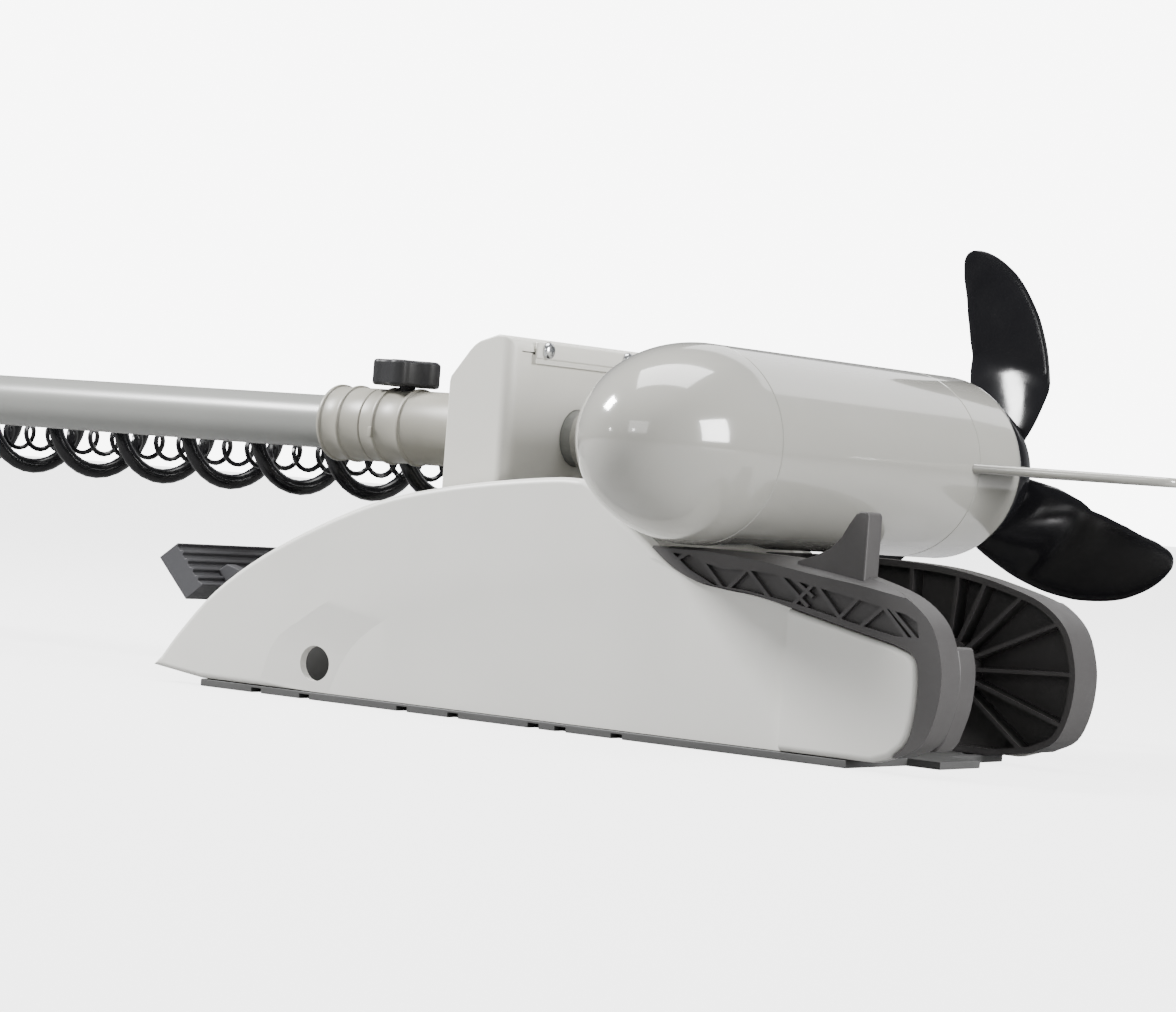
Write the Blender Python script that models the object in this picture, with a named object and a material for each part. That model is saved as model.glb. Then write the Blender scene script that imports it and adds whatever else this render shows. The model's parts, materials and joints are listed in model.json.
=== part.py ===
"""A bow-mount electric trolling motor, stowed flat on its mount.

Frame: +X points over the bow, along the shaft towards the motor; +Y points along the motor
towards the propeller; +Z is up. The origin is on the deck, under the motor's axis and on the
mount's centreline. Sizes are in metres.
"""

import math

import bmesh
import bpy
from mathutils import Matrix, Vector

for leftover in list(bpy.data.objects):
    bpy.data.objects.remove(leftover, do_unlink=True)

# ------------------------------------------------------------------ driving dimensions
GAP = 0.0003  # between pieces that touch
RUNNING = 0.0004  # radial clearance of a turning fit

SHAFT_RADIUS = 0.0150
SHAFT_WALL = 0.0022
NECK_END = -0.124  # the boss's sleeve along the shaft ends here
SHAFT_LENGTH = 1.105  # from the motor's skin to the tube's top end
MOTOR_RADIUS = 0.0500
SEAT_HEIGHT = 0.100  # underside of the motor above the deck when stowed
AXIS_HEIGHT = SEAT_HEIGHT + MOTOR_RADIUS  # shaft and motor axis above the deck when stowed
MOTOR_WALL = 0.0050
MOTOR_FRONT = -0.079  # seam between the nose and the motor's tube
TUBE_LENGTH = 0.195
BELL_LENGTH = 0.055
BELL_ROUND = 0.014
NOSE_LENGTH = 0.077
ARMATURE_RADIUS = 0.034
MAGNET_THICKNESS = 0.007
PROP_SHAFT_RADIUS = 0.006
PROP_RADIUS = 0.126
PROP_HUB_RADIUS = 0.043
PROP_HUB_LENGTH = 0.046
BLADES = 3
BLADE_TURN = 105.2  # degrees from +X to the first blade's root line, before its sweep
BLADE_THICKNESS = 0.0052
SKEG_REACH = 0.100
SKEG_THICKNESS = 0.005

MOUNT_HALF_WIDTH = 0.079
COVER_DEPTH = 0.011
COVER_WALL = 0.0032
PLATE_THICKNESS = 0.004  # of the base plate
RAMP_THICKNESS = {-1: 0.0175, 1: 0.024}  # near side and far side
RAMP_WEB = 0.002
RAMP_RIM = 0.005
BASE_BACK = -0.316
BASE_FRONT = 0.150
TONGUE_HALF_WIDTH = 0.020
PLATE_FRONT = 0.098  # the plate's full width ends here and a tongue runs on
PIVOT = (0.073, 0.046)  # X and Z of the link arms' pivot on the mount
PIVOT_RADIUS = 0.006
LINK_PIVOT = (-0.150, 0.070)  # X and Z of the arms' pivot on the steering housing
ARM_THICKNESS = 0.008
ARM_HALF_WIDTH = 0.010
LUG_HALF_WIDTH = 0.044

HOUSING_BACK = -0.170
HOUSING_FRONT = -0.130
HOUSING_HALF_WIDTH = 0.064
HOUSING_TOP = 0.2007
HOUSING_FLOOR = 0.100
HOUSING_WALL = 0.004
CAP_THICKNESS = 0.0037
CAP_HALF_WIDTH = 0.055
CAP_SCREW_REACH = 0.0363
CAP_SCREW_HEAD = 0.0045

SLEEVE_RADIUS = 0.0203
COLLAR_RADIUS = 0.0215
COLLAR_SPLIT = -0.2655
COLLAR_END = -0.297
KNOB_X = -0.249
KNOB_RADIUS = 0.0197
KNOB_HEIGHT = 0.0155
KNOB_STEM_RADIUS = 0.0045

PEDAL_PIVOT = (-0.268, 0.040)
PEDAL_HALF_WIDTH = 0.058
PEDAL_PIN_RADIUS = 0.005
LATCH_PIVOT = (-0.205, 0.028)

COIL_RADIUS = 0.028
COIL_CENTRE = (0.050, 0.1344)  # Y and Z of the coiled cord's axis
COIL_START = -0.262
CORD_RADIUS = 0.00375
HEAD_LENGTH = 0.150
HEAD_HALF_WIDTH = 0.080
HEAD_HEIGHT = 0.100

SHAFT_END = -MOTOR_RADIUS - SHAFT_LENGTH
MOTOR_TUBE_END = MOTOR_FRONT + TUBE_LENGTH
MOTOR_REAR = MOTOR_TUBE_END + BELL_LENGTH


# ------------------------------------------------------------------ materials
def finish(name, colour, roughness, metallic=0.0):
    """One Principled material."""
    made = bpy.data.materials.new(name)
    made.use_nodes = True
    shader = made.node_tree.nodes["Principled BSDF"]
    shader.inputs["Base Color"].default_value = (*colour, 1.0)
    shader.inputs["Roughness"].default_value = roughness
    shader.inputs["Metallic"].default_value = metallic
    return made


GLOSS_WHITE = finish("gloss_white_paint", (0.74, 0.73, 0.70), 0.18)
COVER_WHITE = finish("cover_white_plastic", (0.78, 0.78, 0.75), 0.45)
HOUSING_WHITE = finish("housing_white_paint", (0.78, 0.77, 0.72), 0.42)
COLLAR_CREAM = finish("collar_cream_plastic", (0.62, 0.59, 0.53), 0.45)
SHAFT_GREY = finish("shaft_grey", (0.44, 0.45, 0.44), 0.30)
RAMP_GREY = finish("ramp_grey_plastic", (0.20, 0.19, 0.19), 0.55)
BLACK_PLASTIC = finish("black_plastic", (0.015, 0.015, 0.017), 0.35)
PROP_BLACK = finish("prop_gloss_black", (0.008, 0.008, 0.010), 0.12)
CORD_BLACK = finish("cord_black", (0.010, 0.010, 0.011), 0.28)
PEDAL_GREY = finish("pedal_grey_plastic", (0.07, 0.07, 0.075), 0.55)
STEEL = finish("stainless_steel", (0.66, 0.67, 0.68), 0.25, 1.0)
ALUMINIUM = finish("anodised_aluminium", (0.30, 0.30, 0.31), 0.40, 1.0)
COPPER = finish("copper_winding", (0.60, 0.26, 0.12), 0.35, 1.0)
MAGNET = finish("ferrite_magnet", (0.05, 0.05, 0.055), 0.6)
BRASS = finish("brass", (0.62, 0.46, 0.18), 0.3, 1.0)
SEAL_RUBBER = finish("seal_rubber", (0.02, 0.02, 0.02), 0.7)


# ------------------------------------------------------------------ modelling helpers
def to_object(name, form, material, sharp=math.radians(35)):
    """A bmesh as an object with its normals outward and its round faces smooth."""
    bmesh.ops.recalc_face_normals(form, faces=form.faces)
    mesh = bpy.data.meshes.new(name)
    form.to_mesh(mesh)
    form.free()
    mesh.materials.append(material)
    mesh.shade_smooth()
    mesh.set_sharp_from_angle(angle=sharp)
    made = bpy.data.objects.new(name, mesh)
    bpy.context.scene.collection.objects.link(made)
    return made


def prism(name, outline, low, high, material, plane="XZ"):
    """An outline of two coordinates swept between two values of the third axis."""
    def place(u, v, w):
        return {"XZ": (u, w, v), "XY": (u, v, w), "YZ": (w, u, v)}[plane]

    form = bmesh.new()
    rings = [[form.verts.new(place(u, v, w)) for u, v in outline] for w in (low, high)]
    form.faces.new(rings[0])
    form.faces.new(rings[1])
    for i in range(len(outline)):
        j = (i + 1) % len(outline)
        form.faces.new((rings[0][i], rings[0][j], rings[1][j], rings[1][i]))
    return to_object(name, form, material)


def block(name, low, high, material):
    """A box between two corners."""
    outline = [(low[0], low[2]), (high[0], low[2]), (high[0], high[2]), (low[0], high[2])]
    return prism(name, outline, low[1], high[1], material)


AXES = {
    "X": Matrix(((0, 0, 1), (0, 1, 0), (-1, 0, 0))),
    "Y": Matrix(((1, 0, 0), (0, 0, 1), (0, -1, 0))),
    "Z": Matrix.Identity(3),
}


def turned(name, profile, axis, centre, material, sides=40):
    """A closed profile of (radius, distance) pairs turned about an axis through centre."""
    form = bmesh.new()
    turn = AXES[axis]
    rings = []
    for radius, along in profile:
        if radius < 1e-7:
            rings.append([form.verts.new(turn @ Vector((0, 0, along)) + Vector(centre))])
            continue
        ring = []
        for i in range(sides):
            angle = 2 * math.pi * i / sides
            point = Vector((radius * math.cos(angle), radius * math.sin(angle), along))
            ring.append(form.verts.new(turn @ point + Vector(centre)))
        rings.append(ring)
    for a, b in zip(rings, rings[1:] + rings[:1]):
        if len(a) == 1 and len(b) == 1:
            continue
        for i in range(sides):
            j = (i + 1) % sides
            corners = [a[i % len(a)], a[j % len(a)], b[j % len(b)], b[i % len(b)]]
            form.faces.new(list(dict.fromkeys(corners)))
    return to_object(name, form, material)


def rod(name, radius, start, end, axis, centre, material, sides=24):
    """A plain cylinder from start to end along an axis."""
    profile = [(0, start), (radius, start), (radius, end), (0, end)]
    return turned(name, profile, axis, centre, material, sides)


def ring(name, inner, outer, start, end, axis, centre, material, sides=40):
    """A plain tube from start to end along an axis."""
    profile = [(inner, start), (outer, start), (outer, end), (inner, end)]
    return turned(name, profile, axis, centre, material, sides)


def boolean(target, tool, operation):
    """Adds a Boolean of a hidden tool to a target."""
    tool.hide_render = True
    tool.display_type = "WIRE"
    step = target.modifiers.new(operation.lower(), "BOOLEAN")
    step.operation = operation
    step.object = tool
    step.solver = "EXACT"
    return target


def cut(target, *tools):
    """Takes each tool's shape out of a target."""
    for tool in tools:
        boolean(target, tool, "DIFFERENCE")
    return target


def fuse(target, *tools):
    """Adds each tool's shape to a target."""
    for tool in tools:
        boolean(target, tool, "UNION")
    return target


def bevel(target, width, segments=2, angle=35):
    """Rounds a target's edges."""
    step = target.modifiers.new("bevel", "BEVEL")
    step.width = width
    step.segments = segments
    step.limit_method = "ANGLE"
    step.angle_limit = math.radians(angle)
    return target


def offset(outline, distance):
    """An outline moved outward by distance, or inward if it is negative."""
    area = sum(a[0] * b[1] - b[0] * a[1] for a, b in zip(outline, outline[1:] + outline[:1]))
    side = 1 if area > 0 else -1
    moved = []
    for i, point in enumerate(outline):
        before = Vector(point) - Vector(outline[i - 1])
        after = Vector(outline[(i + 1) % len(outline)]) - Vector(point)
        n1 = Vector((before.y, -before.x)).normalized() * side
        n2 = Vector((after.y, -after.x)).normalized() * side
        middle = (n1 + n2).normalized()
        moved.append(tuple(Vector(point) + middle * distance / max(0.5, middle.dot(n1))))
    return moved


def smooth(points, steps=3):
    """A Catmull-Rom curve through points, ends kept."""
    path = [Vector(p) for p in points]
    path = [2 * path[0] - path[1], *path, 2 * path[-1] - path[-2]]
    made = []
    for a, b, c, d in zip(path, path[1:], path[2:], path[3:]):
        for i in range(steps):
            t = i / steps
            made.append(
                0.5 * ((2 * b) + (c - a) * t + (2 * a - 5 * b + 4 * c - d) * t**2
                       + (3 * b - a - 3 * c + d) * t**3)
            )
    made.append(path[-2])
    return [tuple(p) for p in made]


def mirrored(outline_low, outline_high, side):
    """A Y range on the near side (side -1) or on the far side (side 1)."""
    return sorted((side * outline_low, side * outline_high))


# ------------------------------------------------------------------ mount outlines, X and Z
COVER_BOTTOM = PLATE_THICKNESS + GAP
COVER_SWEEP = smooth([
    (-0.346, 0.014), (-0.333, 0.030), (-0.310, 0.053), (-0.279, 0.074), (-0.239, 0.094),
    (-0.199, 0.1095), (-0.159, 0.1188), (-0.120, 0.1248), (-0.085, 0.1285), (-0.068, 0.1285),
], 2)
COVER_DIP = smooth([
    (-0.060, 0.125), (-0.047, 0.113), (-0.027, 0.0995), (-0.012, 0.089), (0.0035, 0.0822),
    (0.022, 0.0795), (0.0433, 0.0772), (0.0784, 0.0695), (0.1195, 0.0608),
], 2)
COVER_NOSE = smooth([
    (0.1195, 0.0608), (0.1297, 0.0570), (0.1335, 0.050), (0.1338, 0.032), (0.1306, 0.0165),
    (0.122, 0.0075),
], 2)[1:]
COVER_OUTLINE = [
    (-0.352, 0.0086), *COVER_SWEEP, *COVER_DIP, *COVER_NOSE, (0.112, COVER_BOTTOM),
    (-0.316, COVER_BOTTOM),
]
RAMP_TOP = smooth([
    (-0.041, 0.0973), (-0.008, 0.0988), (0.028, 0.0991), (0.060, 0.0981), (0.080, 0.0958),
    (0.100, 0.0918), (0.121, 0.0857), (0.1335, 0.0785), (0.1415, 0.0695), (0.1460, 0.0570),
    (0.1475, 0.0450), (0.1455, 0.0290), (0.1390, 0.0150), (0.1260, 0.0080),
], 2)
RAMP_OUTLINE = [*RAMP_TOP, (0.104, COVER_BOTTOM), (-0.041, COVER_BOTTOM)]
FIN_FRONT = 0.0995
FIN_TOP = 0.123
FIN_THICKNESS = 0.013
FIN_OUTLINE = [
    (FIN_FRONT, 0.086), (FIN_FRONT, FIN_TOP), (0.0945, FIN_TOP), (0.0900, 0.1195),
    (0.0850, 0.1105), (0.0790, 0.1042), (0.0700, 0.0998), (0.0610, 0.0970), (0.0610, 0.086),
]
COVER_INNER = MOUNT_HALF_WIDTH - COVER_DEPTH
RAMP_INNER = {side: MOUNT_HALF_WIDTH - RAMP_THICKNESS[side] for side in (-1, 1)}
REBATE = COVER_INNER - GAP
RIB = 0.003
TRUSS_DEPTH = 0.0035
TRUSS_TOP_BAND = 0.0085
TRUSS_FOOT = 0.0020
TRUSS_STATIONS = (-0.004, 0.012, 0.026, 0.040, 0.054, 0.068, 0.082, 0.096, 0.110, 0.121)


def height_on(curve, x):
    """The Z of a curve of (X, Z) points at X."""
    for (x0, z0), (x1, z1) in zip(curve, curve[1:]):
        if min(x0, x1) <= x <= max(x0, x1):
            return z0 + (z1 - z0) * (x - x0) / (x1 - x0)
    return curve[-1][1]


def truss_pockets(name, side):
    """The triangular pockets in a ramp's outer face, between its top band and the cover."""
    nodes = []
    for i, x in enumerate(TRUSS_STATIONS):
        top = height_on(RAMP_TOP, x) - TRUSS_TOP_BAND
        foot = height_on(COVER_DIP, x) + TRUSS_FOOT
        nodes.append((x, foot if i % 2 else top))
    span = mirrored(MOUNT_HALF_WIDTH - TRUSS_DEPTH, MOUNT_HALF_WIDTH + 0.002, side)
    return [
        prism(f"{name}_pocket_{i}", offset([a, b, c], -RIB / 2), *span, RAMP_GREY)
        for i, (a, b, c) in enumerate(zip(nodes, nodes[1:], nodes[2:]))
    ]


def spoke(name, angle, start, reach, span):
    """A rib from the pivot boss outward at an angle, as a thin block."""
    along = Vector((math.cos(angle), math.sin(angle)))
    across = Vector((-along.y, along.x)) * RIB / 2
    origin = Vector(PIVOT)
    corners = [origin + along * d + across * s for d, s in
               ((start, -1), (reach, -1), (reach, 1), (start, 1))]
    return prism(name, [tuple(c) for c in corners], *span, RAMP_GREY)


def ramp(name, side):
    """A ramp plate that the motor rests on: web, rim, inner ribs and outer truss, and a stop fin
    on the near one."""
    made = prism(name, RAMP_OUTLINE, *mirrored(RAMP_INNER[side], MOUNT_HALF_WIDTH, side), RAMP_GREY)
    bevel(made, 0.0016, 2)
    if side < 0:
        fin_high = MOUNT_HALF_WIDTH - 0.003
        fin = prism(f"{name}_fin", FIN_OUTLINE, -fin_high, FIN_THICKNESS - fin_high, RAMP_GREY)
        bevel(fin, 0.0008, 1)
        fuse(made, fin)
    hidden = offset(COVER_OUTLINE, 0.0009)
    rebate = prism(f"{name}_rebate", hidden, *mirrored(REBATE, MOUNT_HALF_WIDTH + 0.01, side), RAMP_GREY)
    cut(made, rebate)
    inner = mirrored(RAMP_INNER[side] - 0.004, REBATE - RAMP_WEB, side)
    pocket = prism(f"{name}_inner_pocket", offset(RAMP_OUTLINE, -RAMP_RIM), *inner, RAMP_GREY)
    span = mirrored(RAMP_INNER[side] - 0.006, REBATE - RAMP_WEB + 0.002, side)
    for i, degrees in enumerate((90, 66, 47, 24, 3, -20, -43)):
        cut(pocket, spoke(f"{name}_spoke_{i}", math.radians(degrees), 0.005, 0.09, span))
    for i, x in enumerate((0.046, 0.018, -0.010)):
        upright = [(x - RIB / 2, -0.01), (x + RIB / 2, -0.01), (x + RIB / 2, 0.12), (x - RIB / 2, 0.12)]
        cut(pocket, prism(f"{name}_upright_{i}", upright, *span, RAMP_GREY))
    boss = rod(f"{name}_boss", 0.016, *span, "Y", (PIVOT[0], 0, PIVOT[1]), RAMP_GREY)
    cut(pocket, boss)
    cut(made, pocket)
    for hollow in truss_pockets(name, side):
        cut(made, hollow)
    bore = rod(f"{name}_bore", PIVOT_RADIUS + GAP, *mirrored(0.03, 0.1, side), "Y",
               (PIVOT[0], 0, PIVOT[1]), STEEL)
    return cut(made, bore)


def cover(name, side):
    """A side cover: a thin outer wall with a lip that turns in all round."""
    made = prism(name, COVER_OUTLINE, *mirrored(COVER_INNER, MOUNT_HALF_WIDTH, side), COVER_WHITE)
    bevel(made, 0.0022, 3)
    hollow = prism(f"{name}_hollow", offset(COVER_OUTLINE, -COVER_WALL),
                   *mirrored(COVER_INNER - 0.005, MOUNT_HALF_WIDTH - COVER_WALL, side), COVER_WHITE)
    cut(made, hollow)
    bore = rod(f"{name}_access_bore", 0.0095, *mirrored(0.05, 0.09, side), "Y",
               (-0.2365, 0, 0.0195), COVER_WHITE, 28)
    return cut(made, bore)


# ------------------------------------------------------------------ mount
def build_base():
    """The base plate that bolts to the deck, with its side slots and bolt holes."""
    plate = block("base_plate", (BASE_BACK, -0.0775, 0), (PLATE_FRONT, 0.0775, PLATE_THICKNESS),
                  ALUMINIUM)
    fuse(plate, block("base_tongue", (PLATE_FRONT - 0.01, -TONGUE_HALF_WIDTH, 0),
                      (BASE_FRONT - 0.033, TONGUE_HALF_WIDTH, PLATE_THICKNESS), ALUMINIUM))
    for i, x in enumerate((-0.279, -0.245, -0.178, -0.144, -0.092, -0.075, -0.040)):
        for side in (-1, 1):
            slot = mirrored(0.070, 0.082, side)
            cut(plate, block(f"slot_{i}_{side + 1}", (x, slot[0], -0.002),
                             (x + 0.007, slot[1], 0.0025), ALUMINIUM))
    for i, x in enumerate((-0.2365, -0.060, 0.090)):
        for side in (-1, 1):
            cut(plate, rod(f"bolt_hole_{i}_{side + 1}", 0.0045, -0.01, 0.02, "Z",
                           (x, side * 0.052, 0), ALUMINIUM, 16))
    return plate


def build_spine():
    """The channel between the covers that carries the pedal, the latch and the rest post."""
    spine = block("spine_channel", (-0.312, -0.042, COVER_BOTTOM), (0.040, 0.042, 0.024), ALUMINIUM)
    cut(spine, block("spine_hollow", (-0.330, -0.039, COVER_BOTTOM + 0.003), (0.060, 0.039, 0.040),
                     ALUMINIUM))
    for side in (-1, 1):
        for tag, (x, z) in (("pedal", PEDAL_PIVOT), ("latch", LATCH_PIVOT)):
            ear = mirrored(0.039, 0.042, side)
            outline = [(x - 0.011, 0.020), (x + 0.011, 0.020), (x + 0.009, z + 0.007),
                       (x, z + 0.011), (x - 0.009, z + 0.007)]
            fuse(spine, prism(f"{tag}_ear_{side + 1}", outline, *ear, ALUMINIUM))
    for tag, (x, z) in (("pedal", PEDAL_PIVOT), ("latch", LATCH_PIVOT)):
        cut(spine, rod(f"{tag}_ear_bore", PEDAL_PIN_RADIUS + GAP, -0.09, 0.09, "Y", (x, 0, z), STEEL))
    return spine


def pin(name, radius, half_length, x, z):
    """A cross pin with chamfered ends."""
    chamfer = radius * 0.25
    profile = [(0, -half_length), (radius - chamfer, -half_length), (radius, -half_length + chamfer),
               (radius, half_length - chamfer), (radius - chamfer, half_length), (0, half_length)]
    return turned(name, profile, "Y", (x, 0, z), STEEL, 20)


def build_bumper():
    """The block inside the near ramp's front end."""
    outline = smooth([(0.1445, 0.0620), (0.1470, 0.0500), (0.1460, 0.0330), (0.1410, 0.0170)], 2)
    outline = [(0.1330, 0.0590), (0.1370, 0.0615), *outline, (0.1360, 0.0110), (0.1330, 0.0110)]
    made = prism("bow_block", outline, -RAMP_INNER[-1] + GAP, -0.045, RAMP_GREY)
    return bevel(made, 0.0012, 2)


for tag, side in (("near", -1), ("far", 1)):
    ramp(f"{tag}_ramp", side)
    cover(f"{tag}_side_cover", side)
build_base()
build_spine()
build_bumper()
pin("base_pivot_pin", PIVOT_RADIUS, REBATE - 0.001, *PIVOT)
pin("pedal_pivot_pin", PEDAL_PIN_RADIUS, 0.0445, *PEDAL_PIVOT)
pin("latch_pivot_pin", PEDAL_PIN_RADIUS, 0.0445, *LATCH_PIVOT)


# ------------------------------------------------------------------ link arms
def build_arm(name, side):
    """A link arm from the mount's pivot to the housing's pivot, with a bush boss at each end."""
    a, b = Vector(PIVOT), Vector(LINK_PIVOT)
    heading = math.atan2(b.y - a.y, b.x - a.x)
    outline = []
    for centre, start in ((a, heading + math.pi / 2), (b, heading - math.pi / 2)):
        for i in range(9):
            angle = start + math.pi * i / 8
            outline.append(tuple(centre + ARM_HALF_WIDTH * Vector((math.cos(angle), math.sin(angle)))))
    low = LUG_HALF_WIDTH + RUNNING * 2
    made = prism(name, outline, *mirrored(low, low + ARM_THICKNESS, side), ALUMINIUM)
    bevel(made, 0.0012, 1)
    for tag, (x, z) in (("base", PIVOT), ("housing", LINK_PIVOT)):
        cut(made, rod(f"{name}_{tag}_bore", PIVOT_RADIUS + RUNNING, *mirrored(0.03, 0.07, side), "Y",
                      (x, 0, z), STEEL))
    return made


build_arm("near_link_arm", -1)
build_arm("far_link_arm", 1)
ARM_BRACE = Vector(PIVOT).lerp(Vector(LINK_PIVOT), 0.30)
ring("link_arm_brace", 0.004, 0.008, -LUG_HALF_WIDTH - RUNNING * 2 + GAP,
     LUG_HALF_WIDTH + RUNNING * 2 - GAP, "Y", (ARM_BRACE.x, 0, ARM_BRACE.y), ALUMINIUM, 24)
ring("base_pivot_spacer", PIVOT_RADIUS + RUNNING, 0.011, -LUG_HALF_WIDTH - RUNNING,
     LUG_HALF_WIDTH + RUNNING, "Y", (PIVOT[0], 0, PIVOT[1]), ALUMINIUM, 24)


# ------------------------------------------------------------------ steering housing
def build_housing():
    """The steering housing's shell, open at the front, with a lug between the link arms below."""
    outline = [
        (HOUSING_BACK, HOUSING_FLOOR), (HOUSING_BACK, 0.172), (-0.1560, 0.1945),
        (-0.1450, HOUSING_TOP - 0.0012), (-0.1380, HOUSING_TOP), (HOUSING_FRONT, HOUSING_TOP - 0.001),
        (HOUSING_FRONT, HOUSING_FLOOR),
    ]
    shell = prism("steering_housing", outline, -HOUSING_HALF_WIDTH, HOUSING_HALF_WIDTH, HOUSING_WHITE)
    bevel(shell, 0.004, 3, 25)
    x, z = LINK_PIVOT
    lug_outline = [(x - 0.015, HOUSING_FLOOR + 0.006), (x - 0.015, z), (x - 0.0106, z - 0.0106),
                   (x, z - 0.015), (x + 0.0106, z - 0.0106), (x + 0.015, z),
                   (x + 0.015, HOUSING_FLOOR + 0.006)]
    fuse(shell, prism("housing_lug", lug_outline, -LUG_HALF_WIDTH, LUG_HALF_WIDTH, HOUSING_WHITE))
    wall = HOUSING_WALL
    cut(shell, block("housing_hollow", (HOUSING_BACK + wall, -CAP_HALF_WIDTH + 0.004, 0.112),
                     (-0.10, CAP_HALF_WIDTH - 0.004, 0.188), HOUSING_WHITE))
    cut(shell, block("cap_seat", (HOUSING_FRONT - CAP_THICKNESS, -CAP_HALF_WIDTH - GAP, 0.105 - GAP),
                     (-0.10, CAP_HALF_WIDTH + GAP, 0.1925 + GAP), HOUSING_WHITE))
    cut(shell, rod("housing_shaft_bore", SHAFT_RADIUS + RUNNING, -0.2, 0.0, "X",
                   (0, 0, AXIS_HEIGHT), HOUSING_WHITE, 40))
    cut(shell, rod("housing_pin_bore", PIVOT_RADIUS + GAP, -0.1, 0.1, "Y", (x, 0, z), HOUSING_WHITE))
    return shell


def build_cap():
    """The housing's front cap, with a raised screw strip along its top edge."""
    face = HOUSING_FRONT - 0.0010
    back = HOUSING_FRONT - CAP_THICKNESS + GAP
    cap = block("housing_cap", (back, -CAP_HALF_WIDTH, 0.105), (face, CAP_HALF_WIDTH, 0.1925),
                HOUSING_WHITE)
    bevel(cap, 0.0006, 1)
    strip = block("cap_strip", (HOUSING_FRONT + GAP, -0.0450, 0.1895), (-0.1275, 0.0450, 0.1985),
                  HOUSING_WHITE)
    neck = block("cap_neck", (face - 0.001, -0.0450, 0.1870), (-0.1285, 0.0450, 0.1915), HOUSING_WHITE)
    bevel(strip, 0.0012, 2)
    fuse(cap, neck, strip)
    cut(cap, rod("cap_shaft_bore", SHAFT_RADIUS + RUNNING, -0.2, 0.0, "X",
                 (0, 0, AXIS_HEIGHT), HOUSING_WHITE, 40))
    return cap


def build_screw(name, y, z, face):
    """A pan-head screw on the cap, with a cross recess."""
    r = CAP_SCREW_HEAD
    profile = [(0, face + GAP), (r, face + GAP), (r, face + 0.0012), (r * 0.75, face + 0.0024),
               (0, face + 0.0028)]
    head = turned(name, profile, "X", (0, y, z), STEEL, 20)
    for tag, (dy, dz) in (("a", (0.0022, 0.0005)), ("b", (0.0005, 0.0022))):
        cut(head, block(f"{name}_recess_{tag}", (face + 0.0014, y - dy, z - dz),
                        (face + 0.006, y + dy, z + dz), STEEL))
    return head


build_housing()
build_cap()
build_screw("cap_screw_upper_near", -CAP_SCREW_REACH, 0.1942, -0.1275)
build_screw("cap_screw_upper_far", CAP_SCREW_REACH, 0.1942, -0.1275)
build_screw("cap_screw_lower_near", -0.046, 0.112, HOUSING_FRONT - 0.0010)
build_screw("cap_screw_lower_far", 0.046, 0.112, HOUSING_FRONT - 0.0010)
pin("housing_pivot_pin", PIVOT_RADIUS, LUG_HALF_WIDTH + ARM_THICKNESS + 0.0015, *LINK_PIVOT)

S, C = SLEEVE_RADIUS, COLLAR_RADIUS
BORE = SHAFT_RADIUS + RUNNING
turned("steering_sleeve", [
    (BORE, HOUSING_BACK - GAP), (0.0235, HOUSING_BACK - GAP), (0.0212, -0.176), (S, -0.180),
    (S, -0.2365), (C, -0.2372), (C, -0.2392), (S, -0.2400), (S, -0.2540), (C, -0.2548), (C, -0.2570),
    (S, -0.2578), (S, COLLAR_SPLIT), (BORE, COLLAR_SPLIT),
][::-1], "X", (0, 0, AXIS_HEIGHT), COLLAR_CREAM, 36)
turned("depth_collar", [
    (BORE, COLLAR_SPLIT - GAP), (S, COLLAR_SPLIT - GAP), (S, -0.2795), (C, -0.2802), (C, -0.2822),
    (S, -0.2830), (S, COLLAR_END + 0.0050), (C, COLLAR_END + 0.0040), (C, COLLAR_END + 0.0015),
    (S, COLLAR_END + 0.0005), (0.0185, COLLAR_END), (BORE, COLLAR_END),
][::-1], "X", (0, 0, AXIS_HEIGHT), COLLAR_CREAM, 36)

KNOB_BASE = AXIS_HEIGHT + SLEEVE_RADIUS + 0.0008
cut(bpy.data.objects["steering_sleeve"],
    rod("knob_stem_bore", KNOB_STEM_RADIUS + RUNNING, AXIS_HEIGHT, AXIS_HEIGHT + 0.04, "Z",
        (KNOB_X, 0, 0), COLLAR_CREAM, 20))
ring("steering_gear", BORE, 0.028, -0.158, -0.150, "X", (0, 0, AXIS_HEIGHT), BRASS, 36)
rod("steering_worm", 0.004, -0.022, 0.022, "Y", (-0.154, 0, 0.1173), STEEL, 16)
rod("steering_drive_motor", 0.0068, -0.049, -0.0225, "Y", (-0.154, 0, 0.1195), ALUMINIUM, 20)
turned("cord_gland", [
    (0.0, HOUSING_BACK - GAP), (0.0075, HOUSING_BACK - GAP), (0.0075, -0.174), (0.0058, -0.176),
    (0.0052, -0.187), (0.0, -0.187),
][::-1], "X", (0, 0.050, 0.1175), BLACK_PLASTIC, 20)


# ------------------------------------------------------------------ clamp knob
def build_knob():
    """The depth-clamp knob: a lobed head on a short stem, turning about a vertical axis."""
    outline = []
    lobes = 5
    steps = 60
    for i in range(steps):
        angle = 2 * math.pi * i / steps
        radius = KNOB_RADIUS * (0.90 + 0.10 * math.cos(lobes * angle))
        outline.append((KNOB_X + radius * math.cos(angle), radius * math.sin(angle)))
    top = KNOB_BASE + KNOB_HEIGHT
    knob = prism("clamp_knob", outline, KNOB_BASE + 0.0010, top, BLACK_PLASTIC, "XY")
    bevel(knob, 0.0018, 2, 50)
    stem = rod("knob_stem", KNOB_STEM_RADIUS, AXIS_HEIGHT + SHAFT_RADIUS + 0.0012, top - 0.004, "Z",
               (KNOB_X, 0, 0), STEEL, 20)
    return fuse(knob, stem)


build_knob()


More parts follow.
